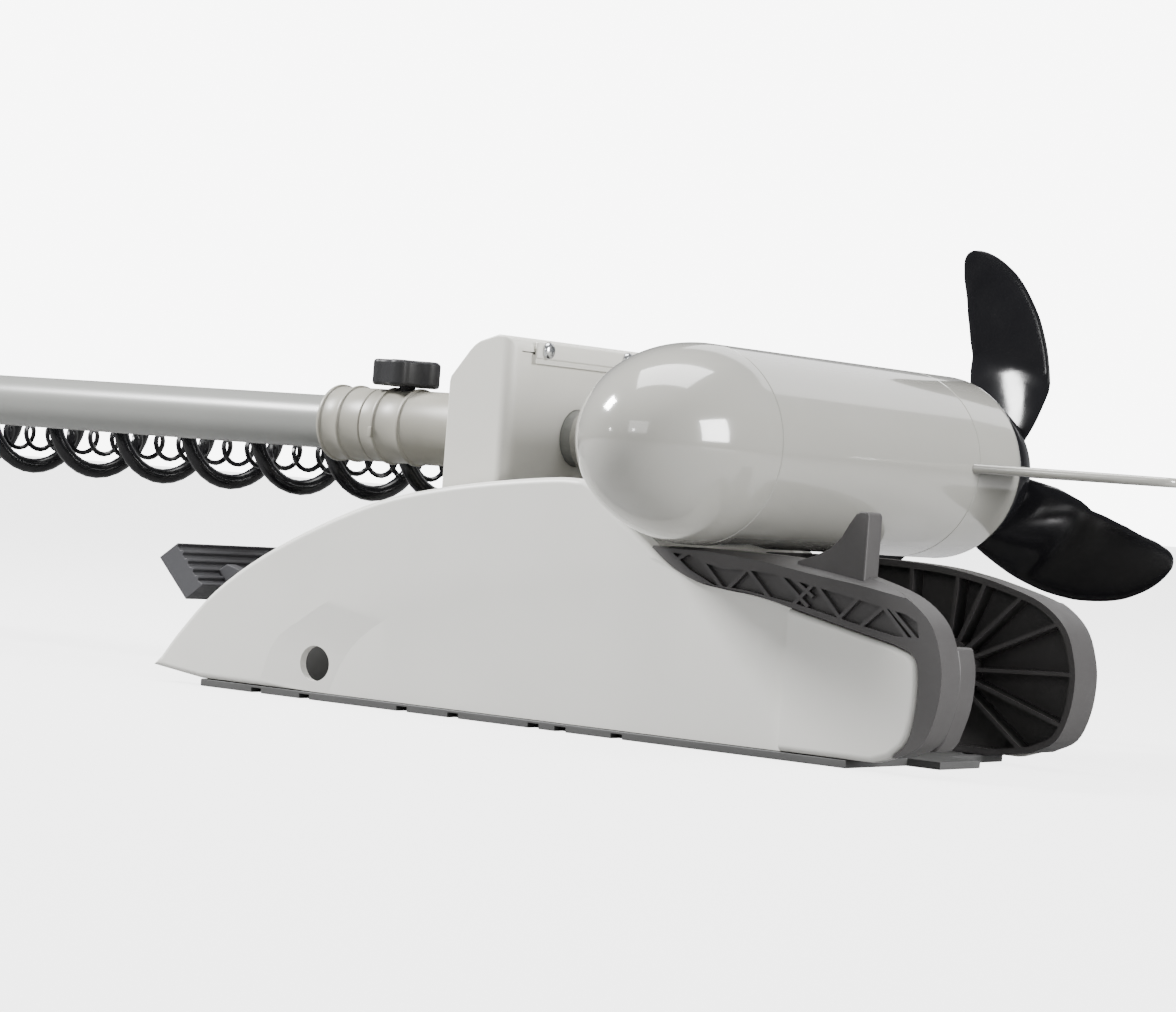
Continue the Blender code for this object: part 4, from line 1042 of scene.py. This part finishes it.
@dataclass
class Collars:
    """The sleeve that turns the shaft and the collar that its depth is set with."""

    bore: float = SHAFT_BORE
    radius: float = 0.0203
    ridge_radius: float = 0.0215
    split: float = -0.2655
    end: float = -0.2970

    def build(self) -> None:
        """Makes both, with the nub on the sleeve's ring."""
        back, r = -0.170 - GAP, self.radius
        sleeve = spun("steering_sleeve", [
            (self.bore, back), (0.0233, back), (0.0235, back - 0.0005), (0.0230, back - 0.0024),
            (0.0218, back - 0.0044), (0.0210, -0.1765), (r, -0.1800), *self.ridge(-0.2382),
            *self.ridge(-0.2559), (r, self.split + 0.0006), (r - 0.0005, self.split),
            (self.bore, self.split),
        ], Axis.X, MOTOR_CENTRE, 80)
        nub = box_piece("nub", (-0.2572, -0.0222, 0.1428), (-0.2546, -0.0195, 0.1486))
        soften(nub, 0.0005, 2)
        weld_on(sleeve, nub)
        carve(sleeve, rod_piece("stem_bore", STEM_RADIUS + 0.0004, AXIS_HEIGHT, 0.190, Axis.Z,
                                (ClampKnob.at, 0.0, 0.0), 32))
        shade(sleeve)
        fit(sleeve, COLLAR_CREAM, "collar_cream_plastic", Body.STEERING, "steering_sleeve")
        front = self.split - GAP
        collar = spun("depth_collar", [
            (self.bore, front), (r - 0.0005, front), (r, front - 0.0006),
            *self.ridge(-0.2812), *self.ridge(self.end + 0.0028),
            (r - 0.0003, self.end + 0.0010), (0.0193, self.end + 0.0003), (0.0182, self.end),
            (self.bore, self.end),
        ], Axis.X, MOTOR_CENTRE, 80)
        shade(collar)
        fit(collar, COLLAR_CREAM, "collar_cream_plastic", Body.STEERING, "depth_collar")

    def ridge(self, x: float) -> list[Point2]:
        """The section of a thin rounded ridge round the sleeve, centred on X."""
        low, high = self.radius, self.ridge_radius
        rise = [(low, 0.0018), (low + 0.0002, 0.0014), (high - 0.0002, 0.0009), (high, 0.0005)]
        return [*((r, x + t) for r, t in rise), *((r, x - t) for r, t in reversed(rise))]


@dataclass
class ClampKnob:
    """The lobed knob that clamps the shaft's depth."""

    at: float = -0.249
    radius: float = 0.0197
    low: float = 0.1721
    high: float = 0.1866
    lobes: int = 5
    points: int = 120

    def build(self) -> bpy.types.Object:
        """Makes the knob on its stem.

        Returns:
            The knob.
        """
        outline = []
        for i in range(self.points):
            angle = 2.0 * math.pi * i / self.points
            wave = math.cos(self.lobes * angle)
            lift = math.copysign(abs(wave) ** 0.6, wave)
            radius = self.radius * (0.885 + 0.115 * lift)
            outline.append((self.at + radius * math.cos(angle), radius * math.sin(angle)))
        piece = swept("clamp_knob", outline, self.low, self.high, Axis.Z)
        soften(piece, 0.0020, 5, 60.0)
        dish = spun("dish", [(0.0, 0.0006), (0.0118, 0.0006), (0.0124, -0.0006),
                             (0.0118, -0.0010), (0.0, -0.0010)],
                    Axis.Z, (self.at, 0.0, self.high + 0.0002), 64)
        carve(piece, dish)
        stem = rod_piece("stem", STEM_RADIUS, 0.1662, self.high - 0.004, Axis.Z,
                         (self.at, 0.0, 0.0), 32)
        weld_on(piece, stem)
        even_shading(piece)
        fit(piece, KNOB_BLACK, "black_plastic", Body.KNOB, "clamp_knob")
        return piece


# ------------------------------------------------------------------ motor and shaft
@dataclass
class MotorShell:
    """The motor's nose, tube, bell, shaft boss and skeg, and the long shaft."""

    wall: float = 0.0050
    seam: float = 0.0005
    nose_length: float = 0.077
    bell_round: float = 0.014
    skeg_reach: float = 0.100
    skeg_thickness: float = 0.005
    neck_end: float = -0.124
    sides: int = 128

    def skin(self) -> bpy.types.Object:
        """A tool of the motor's outer surface, for what sits on it."""
        return rod_piece("skin", MOTOR_RADIUS + GAP, MOTOR_FRONT - 0.05, MOTOR_REAR + 0.05, Axis.Y,
                         MOTOR_CENTRE, self.sides)

    def enamel(self, piece: bpy.types.Object, node: str) -> None:
        """Shades and dresses an enamelled piece that stands for a node of the motor."""
        shade(piece)
        fit(piece, GLOSS_WHITE, "gloss_white_paint", Body.SHAFT, node)

    def nose(self) -> None:
        """Makes the hollow nose cone."""
        def shell(radius: float, length: float, steps: int) -> list[Point2]:
            """A quarter of an ellipse, from the tip to the seam."""
            return [(radius * math.sin(math.pi / 2 * i / steps),
                     MOTOR_FRONT - length * math.cos(math.pi / 2 * i / steps))
                    for i in range(steps + 1)]
        outer = shell(MOTOR_RADIUS, self.nose_length, 36)[:-1]
        inner = shell(MOTOR_RADIUS - self.wall, self.nose_length - self.wall, 14)
        seam = [(MOTOR_RADIUS, MOTOR_FRONT - self.seam), (MOTOR_RADIUS - self.seam, MOTOR_FRONT)]
        piece = spun("nose_cone", [*outer, *seam, *reversed(inner)], Axis.Y, MOTOR_CENTRE,
                     self.sides)
        self.enamel(piece, "nose_cone")

    def tube(self) -> None:
        """Makes the motor's tube, with a small chamfer at each seam."""
        r, inner, edge = MOTOR_RADIUS, MOTOR_RADIUS - self.wall, self.seam
        front, rear = MOTOR_FRONT + GAP, MOTOR_TUBE_END
        piece = spun("motor_tube", [
            (inner, front), (r - edge, front), (r, front + edge), (r, rear - edge),
            (r - edge, rear), (inner, rear),
        ], Axis.Y, MOTOR_CENTRE, self.sides)
        self.enamel(piece, "motor_tube")

    def bell(self) -> None:
        """Makes the rear bell with its rounded edge."""
        r, wall, edge, bend = MOTOR_RADIUS, self.wall, self.seam, self.bell_round
        front = MOTOR_TUBE_END + GAP
        rim = [(r - bend + bend * math.cos(math.pi / 2 * i / 12),
                MOTOR_REAR - bend + bend * math.sin(math.pi / 2 * i / 12)) for i in range(13)]
        piece = spun("rear_bell", [
            (r - wall, front), (r - edge, front), (r, front + edge), *rim, (0.0165, MOTOR_REAR),
            (0.0165, MOTOR_REAR - 0.022), (0.030, MOTOR_REAR - 0.022),
            (r - wall, MOTOR_REAR - 0.032),
        ], Axis.Y, MOTOR_CENTRE, self.sides)
        self.enamel(piece, "rear_bell")

    def neck(self) -> None:
        """Makes the flared boss that the shaft is bonded into."""
        bore, root, end = SHAFT_RADIUS + GAP, 0.0245, self.neck_end
        flare = smooth([(root, -0.0400), (0.0238, -0.0530), (0.0215, -0.0630), (0.0197, -0.0700),
                        (0.0184, -0.0750), (0.0176, -0.0790)], 4)
        piece = spun("shaft_neck", [
            (bore, -0.020), (root, -0.020), *flare, (0.0168, end + 0.0006), (0.0163, end),
            (bore, end),
        ], Axis.X, MOTOR_CENTRE, 80)
        carve(piece, self.skin())
        self.enamel(piece, "shaft_neck")

    def skeg(self) -> None:
        """Makes the skeg, a flat fin opposite the shaft."""
        root, tip, rear = MOTOR_RADIUS - 0.012, MOTOR_RADIUS + self.skeg_reach, MOTOR_REAR - 0.010
        outline = [(root, 0.104), (MOTOR_RADIUS, 0.108), *smooth([
            (tip - 0.030, 0.1300), (tip - 0.010, 0.1390), (tip - 0.0025, 0.1440),
            (tip, 0.1500), (tip - 0.004, 0.1570), (tip - 0.016, 0.1585),
        ], 4), (MOTOR_RADIUS + 0.020, rear - 0.006), (MOTOR_RADIUS, rear - 0.008),
            (root, rear - 0.008)]
        half = self.skeg_thickness / 2
        piece = swept("skeg", outline, AXIS_HEIGHT - half, AXIS_HEIGHT + half, Axis.Z)
        soften(piece, 0.0021, 4, 40.0)
        carve(piece, self.skin())
        even_shading(piece)
        fit(piece, GLOSS_WHITE, "gloss_white_paint", Body.SHAFT, "skeg")

    def shaft(self) -> None:
        """Makes the long composite shaft."""
        end, start = -1.155, -MOTOR_RADIUS - 0.001
        r, inner = SHAFT_RADIUS, SHAFT_RADIUS - 0.0022
        piece = spun("shaft_tube", [(inner, end), (r, end), (r, start), (inner, start)], Axis.X,
                     MOTOR_CENTRE, 96)
        shade(piece)
        fit(piece, SHAFT_GREY, "shaft_grey", Body.SHAFT, "shaft_tube")

    def build(self) -> None:
        """Makes every piece of the motor's outside."""
        self.nose()
        self.tube()
        self.bell()
        self.neck()
        self.skeg()
        self.shaft()


@dataclass
class Propeller:
    """Three swept blades moulded on a tapered hub."""

    radius: float = 0.126
    hub_radius: float = 0.043
    hub_length: float = 0.046
    bore: float = 0.0063
    recess: float = 0.0125
    blades: int = 3
    turn: float = 105.2
    thickness: float = 0.0050
    sections: int = 34
    around: int = 28
    chords: tuple[Point2, ...] = ((0.0, 0.036), (0.18, 0.050), (0.35, 0.0578), (0.50, 0.0560),
                                  (0.65, 0.0507), (0.80, 0.0410), (0.90, 0.0334), (1.0, 0.0300))
    pitches: tuple[Point2, ...] = ((0.0, 26.0), (0.35, 8.0), (1.0, 4.7))
    rakes: tuple[Point2, ...] = ((0.0, 0.0060), (0.35, 0.0180), (1.0, 0.0185))

    def blade(self) -> bpy.types.Object:
        """Makes a blade, a sheet rolled round its cambered sections and closed at both ends.

        Returns:
            The blade.
        """
        middle = PROP_FRONT + self.hub_length / 2
        root = self.hub_radius * 0.62
        turn = math.radians(self.turn)

        def place(u: float, v: float) -> Point3:
            """A point at a share round a section and a share out along the blade."""
            share = 1.0 - (1.0 - v) ** 1.5
            radius = root + (self.radius - root) * share
            round_off = math.sqrt(max(0.004, 1.0 - max(0.0, (share - 0.83) / 0.17) ** 2))
            flare = 0.018 * max(0.0, 1.0 - share / 0.4)
            chord = read(self.chords, share) * round_off + flare
            pitch = math.radians(read(self.pitches, share))
            thick = self.thickness * (1.15 - 0.55 * share) * (0.4 + 0.6 * round_off)
            angle = 2.0 * math.pi * u
            along = 0.5 * chord * math.cos(angle)
            camber = 0.035 * chord * (1.0 - math.cos(angle) ** 2)
            off = 0.5 * thick * math.sin(angle) + camber * 0.5
            sweep = -0.0285 + 0.0149 * share**5 + flare / 2
            tangent = along * math.cos(pitch) - off * math.sin(pitch) + sweep
            axial = along * math.sin(pitch) + off * math.cos(pitch) + read(self.rakes, share)
            way = turn + tangent / radius
            return (radius * math.cos(way), middle + axial, AXIS_HEIGHT + radius * math.sin(way))

        piece = formed_sheet("blade", self.around, self.sections, place)
        take(piece)
        bpy.ops.object.mode_set(mode="EDIT")
        bpy.ops.mesh.select_all(action="SELECT")
        bpy.ops.mesh.remove_doubles(threshold=0.000002)
        bpy.ops.mesh.fill_holes(sides=0)
        finish_edit(piece)
        return piece

    def build(self) -> bpy.types.Object:
        """Makes the propeller.

        Returns:
            The propeller.
        """
        h, front, rear = self.hub_radius, PROP_FRONT, PROP_FRONT + self.hub_length
        skin = smooth([(h - 0.0008, front + 0.0015), (h, front + 0.0045),
                       (h - 0.0010, front + 0.0100), (h - 0.0040, front + 0.0180),
                       (h - 0.0095, front + 0.0290), (h - 0.0160, front + 0.0380),
                       (0.0215, rear - 0.0012)], 5)
        piece = spun("propeller", [
            (self.bore, front), (h - 0.0028, front), (h - 0.0016, front + 0.0005), *skin,
            (0.0200, rear), (self.recess, rear), (self.recess, rear - 0.010),
            (self.bore, rear - 0.010),
        ], Axis.Y, MOTOR_CENTRE, 96)
        middle = Matrix.Translation(MOTOR_CENTRE)
        first = self.blade()
        others = []
        for i in range(1, self.blades):
            turn = Matrix.Rotation(-2.0 * math.pi * i / self.blades, 4, "Y")
            others.append(copied(first, f"blade_{i}", middle @ turn @ middle.inverted()))
        weld_on(piece, first, *others)
        carve(piece, rod_piece("bore", self.bore, front - 0.01, rear + 0.01, Axis.Y, MOTOR_CENTRE,
                               48))
        shade(piece, 38.0)
        fit(piece, BLADE_BLACK, "prop_gloss_black", Body.ROTOR, "propeller")
        return piece


# ------------------------------------------------------------------ control head and pedal
@dataclass
class ControlHead:
    """The moulded head at the shaft's top end: a socket half and a domed cover half."""

    half_width: float = 0.080
    half_height: float = 0.050
    middle: float = AXIS_HEIGHT - 0.002
    split: float = -1.159
    back: float = -1.250
    roundness: float = 0.62
    points: int = 96

    def outline(self, shrink: float = 0.0) -> list[Point2]:
        """The head's rounded outline across the shaft, shrunk all round."""
        points = []
        for i in range(self.points):
            angle = 2.0 * math.pi * i / self.points
            c, s = math.cos(angle), math.sin(angle)
            y = (self.half_width - shrink) * math.copysign(abs(c) ** self.roundness, c)
            z = (self.half_height - shrink) * math.copysign(abs(s) ** self.roundness, s)
            points.append((y, self.middle + z))
        return points

    def build(self) -> None:
        """Makes both halves."""
        lower = swept("head_lower", self.outline(), self.split + GAP, HEAD_FACE, Axis.X)
        soften(lower, 0.0055, 5, 50.0)
        carve(lower,
              swept("hollow", self.outline(0.004), self.split - 0.02, HEAD_FACE - 0.020, Axis.X),
              rod_piece("socket", SHAFT_RADIUS + GAP, self.split - 0.02, HEAD_FACE + 0.02, Axis.X,
                        MOTOR_CENTRE, 64))
        even_shading(lower)
        fit(lower, BLACK_MOULDING, "black_plastic", Body.SHAFT, "head_lower")
        cover = swept("head_cover", self.outline(), self.back, self.split, Axis.X)
        soften(cover, 0.0150, 8, 50.0)
        carve(cover, swept("hollow", self.outline(0.0045), self.back + 0.006, self.split + 0.02,
                           Axis.X))
        even_shading(cover)
        fit(cover, BLACK_MOULDING, "black_plastic", Body.SHAFT, "head_cover")


@dataclass
class ReleasePedal:
    """The ribbed foot bar and its two arms."""

    top: Point2 = (-0.358, 0.076)
    foot: Point2 = (-0.337, 0.054)
    half_width: float = 0.058
    teeth: int = 5
    pivot: Point2 = (-0.268, 0.040)

    def build(self) -> bpy.types.Object:
        """Makes the pedal.

        Returns:
            The pedal.
        """
        top, foot = Vector(self.top), Vector(self.foot)
        outward = -Vector((foot.y - top.y, top.x - foot.x)).normalized()
        ribs = []
        for i in range(self.teeth):
            for share, depth in ((0.16, 0.0), (0.28, 0.0014), (0.72, 0.0014), (0.84, 0.0)):
                if depth > 0 and i == self.teeth - 1 and share > 0.5:
                    continue
                ribs.append(tuple(top.lerp(foot, (i + share) / self.teeth) - outward * depth))
        bar = [(-0.371, 0.067), self.top, *ribs, self.foot, (-0.349, 0.045)]
        piece = swept("release_pedal", bar, -self.half_width, self.half_width)
        soften(piece, 0.0009, 3, 50.0)
        x, z = self.pivot
        arm = [(x + 0.009, z - 0.004), (x + 0.009, z + 0.006), (x + 0.002, z + 0.0105),
               (-0.300, 0.0560), (-0.340, 0.0660), (-0.350, 0.0600), (-0.343, 0.0520),
               (-0.300, 0.0400), (x - 0.006, z - 0.0095), (x + 0.003, z - 0.0095)]
        for side in Side:
            blade = swept("arm", arm, *mirrored(0.028, 0.036, side))
            soften(blade, 0.0008, 2)
            weld_on(piece, blade)
        carve(piece, rod_piece("bore", 0.0054, -0.05, 0.05, Axis.Y, (x, 0.0, z), 40))
        even_shading(piece)
        fit(piece, PEDAL_GREY, "pedal_grey_plastic", Body.PEDAL, "release_pedal")
        return piece


def dress_frame() -> None:
    """Gives every CAD node its slot's finish, for those that stay in view."""
    for entry in frame["record"]["subparts"]:
        node = frame["nodes"][entry["node"]]
        node.data.materials.clear()
        node.data.materials.append(SLOT_FINISHES[entry["material_slot"]].material())


# ------------------------------------------------------------------ camera, light and floor
@dataclass
class Studio:
    """The camera, a plain pale floor and soft lights, with a white surround behind the object."""

    place: Point3 = (0.9520, -1.4946, 0.1264)
    azimuth: float = 0.6222814
    elevation: float = 0.0064769
    roll: float = 0.0761026
    lens: float = 105.78
    target: Point3 = (-0.05, 0.0, 0.11)
    floor_glow: float = 3.6

    def camera(self) -> None:
        """Sets the camera up at the viewing angle."""
        back = Vector((math.sin(self.azimuth) * math.cos(self.elevation),
                       -math.cos(self.azimuth) * math.cos(self.elevation),
                       math.sin(self.elevation)))
        right = Vector((math.cos(self.azimuth), math.sin(self.azimuth), 0.0))
        up = back.cross(right)
        turned_right = math.cos(self.roll) * right + math.sin(self.roll) * up
        turned_up = -math.sin(self.roll) * right + math.cos(self.roll) * up
        data = bpy.data.cameras.new("camera")
        data.lens = self.lens
        data.sensor_width = 36.0
        data.clip_start = 0.05
        data.clip_end = 60.0
        made = bpy.data.objects.new("camera", data)
        bpy.context.scene.collection.objects.link(made)
        turn = Matrix((turned_right, turned_up, back)).transposed()
        made.matrix_world = Matrix.Translation(self.place) @ turn.to_4x4()
        bpy.context.scene.camera = made

    def softbox(self, name: str, place: Point3, size: Point2, watts: float) -> None:
        """A soft rectangular light aimed at the object.

        Args:
            name: Its name.
            place: Where it hangs.
            size: Its width and height.
            watts: Its power.
        """
        data = bpy.data.lights.new(name, "AREA")
        data.shape = "RECTANGLE"
        data.size, data.size_y = size
        data.energy = watts
        made = bpy.data.objects.new(name, data)
        bpy.context.scene.collection.objects.link(made)
        made.location = place
        way = Vector(self.target) - Vector(place)
        made.rotation_euler = way.to_track_quat("-Z", "Y").to_euler()

    def lights(self) -> None:
        """Hangs the lights and sets the surroundings' glow."""
        self.softbox("overhead", (-0.1, 0.1, 1.9), (1.4, 1.0), 50.0)
        self.softbox("left_key", (-1.7, -1.1, 1.7), (0.6, 0.6), 165.0)
        self.softbox("front_fill", (0.6, -2.4, 0.9), (1.2, 0.8), 9.0)
        self.softbox("right_key", (2.1, 0.1, 0.7), (0.8, 0.9), 85.0)
        self.softbox("behind", (-0.4, 2.2, 1.4), (2.0, 1.0), 10.0)
        self.softbox("left_sparkle", (-0.9, -1.6, 0.45), (0.10, 0.10), 1.2)
        self.softbox("right_sparkle", (0.35, -2.2, 0.62), (0.12, 0.12), 1.2)
        world = bpy.data.worlds.new("studio")
        world.use_nodes = True
        nodes, links = world.node_tree.nodes, world.node_tree.links
        room = nodes["Background"]
        room.inputs["Color"].default_value = (0.96, 0.97, 1.0, 1.0)
        room.inputs["Strength"].default_value = 0.30
        backdrop = nodes.new("ShaderNodeBackground")
        backdrop.inputs["Color"].default_value = (1.0, 1.0, 1.0, 1.0)
        backdrop.inputs["Strength"].default_value = 8.0
        seen = nodes.new("ShaderNodeLightPath")
        choose = nodes.new("ShaderNodeMixShader")
        links.new(seen.outputs["Is Camera Ray"], choose.inputs["Fac"])
        links.new(room.outputs["Background"], choose.inputs[1])
        links.new(backdrop.outputs["Background"], choose.inputs[2])
        links.new(choose.outputs["Shader"], nodes["World Output"].inputs["Surface"])
        bpy.context.scene.world = world

    def floor(self) -> None:
        """Lays a wide pale floor, brightened towards white where the camera sees it."""
        clear_bench()
        bpy.ops.mesh.primitive_plane_add(size=40.0, location=(0.0, 0.0, -0.0002))
        ground = bpy.context.object
        ground.name = "floor"
        settle(ground)
        paper = Finish("pale_floor", (0.28, 0.28, 0.28), 0.85, wander=0.005, grain_depth=0.00001)
        material = paper.material()
        shader = material.node_tree.nodes["Principled BSDF"]
        shader.inputs["Emission Color"].default_value = (1.0, 1.0, 1.0, 1.0)
        seen = material.node_tree.nodes.new("ShaderNodeLightPath")
        glow = material.node_tree.nodes.new("ShaderNodeMath")
        glow.operation = "MULTIPLY"
        glow.inputs[1].default_value = self.floor_glow
        material.node_tree.links.new(seen.outputs["Is Camera Ray"], glow.inputs[0])
        material.node_tree.links.new(glow.outputs["Value"], shader.inputs["Emission Strength"])
        shader.inputs["Specular IOR Level"].default_value = 0.0
        ground.data.materials.append(material)

    def build(self) -> None:
        """Sets up the whole studio."""
        self.camera()
        self.lights()
        self.floor()


# ------------------------------------------------------------------ cords
@dataclass
class CoiledCord:
    """A coiled cord that leaves the housing's gland, curls along the shaft and enters the head."""

    name: str
    exit: Point3
    axis_at: Point2
    strand: float
    outer_radius: float
    pitch: float
    first_low: float
    coil_start: float
    ease: float
    per_turn: int
    sides: int
    stiffness: str
    nodes: tuple[str, ...] = ()
    end: float = HEAD_FACE + 0.001

    def route(self) -> list[Point3]:
        """The cord's centreline, from its exit to the head."""
        centre_radius = self.outer_radius - self.strand / 2
        points = []
        step = self.pitch / self.per_turn
        lead = self.exit[0] - self.coil_start
        lead_steps = max(4, round(lead / (self.strand * 1.6)))
        for i in range(lead_steps):
            points.append((self.exit[0] - lead * i / lead_steps, self.exit[1], self.exit[2]))
        x = self.coil_start
        while x > self.end:
            grown = eased((self.coil_start - x) / self.ease)
            psi = math.pi / 2 + 2.0 * math.pi * (x - self.first_low) / self.pitch
            y = self.exit[1] + (self.axis_at[0] - self.exit[1]) * grown
            z = self.exit[2] + (self.axis_at[1] - self.exit[2]) * grown
            points.append((x, y - grown * centre_radius * math.cos(psi),
                           z - grown * centre_radius * math.sin(psi)))
            x -= step
        last = points[-1]
        points.append((self.end, last[1], last[2]))
        return points

    def build(self) -> bpy.types.Object:
        """Returns:
            The cord.
        """
        route = self.route()
        clear_bench()
        bpy.ops.curve.primitive_nurbs_path_add(location=(0.0, 0.0, 0.0))
        line = bpy.context.object
        line.name = self.name
        curve = line.data
        curve.splines.clear()
        spline = curve.splines.new("POLY")
        spline.points.add(len(route) - 1)
        for point, place in zip(spline.points, route):
            point.co = (*place, 1.0)
        curve.bevel_depth = self.strand / 2
        curve.bevel_resolution = self.sides // 4 - 1
        curve.use_fill_caps = True
        take(line)
        bpy.ops.object.convert(target="MESH")
        piece = bpy.context.object
        bpy.ops.object.mode_set(mode="EDIT")
        finish_edit(piece)
        shade(piece, 50.0)
        CORD_BLACK.dress(piece)
        length = sum((Vector(b) - Vector(a)).length for a, b in zip(route, route[1:]))
        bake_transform(piece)
        if self.nodes:
            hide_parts(*self.nodes)
        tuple(self.exit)
        log.info("%s: %.2f m long, %d faces", piece.name, length, len(piece.data.polygons))
        return piece


def build_cords() -> None:
    """Makes the heavy coiled cord and the fine one that lies inside it."""
    CoiledCord("power_cord", exit=CORD_EXIT, axis_at=(0.050, 0.1344), strand=0.0090,
               outer_radius=0.0278, pitch=0.0545, first_low=-0.310, coil_start=-0.205, ease=0.070,
               per_turn=26, sides=16, stiffness="medium",
               nodes=("coil_cord", "coil_cord_lead")).build()
    CoiledCord("signal_cord", exit=(-0.1705, *SIGNAL_PLACE), axis_at=(0.050, 0.1290),
               strand=0.0030, outer_radius=0.0088, pitch=0.0182, first_low=-0.250,
               coil_start=-0.195, ease=0.055, per_turn=16, sides=8, stiffness="limp").build()


def main() -> None:
    """Builds the studio and every part of the motor, and reports each."""
    Studio().build()
    dress_frame()
    build_mount()
    SteeringHousing().build()
    Collars().build()
    ClampKnob().build()
    MotorShell().build()
    Propeller().build()
    ControlHead().build()
    ReleasePedal().build()
    build_cords()


if __name__ == "__main__":
    main()
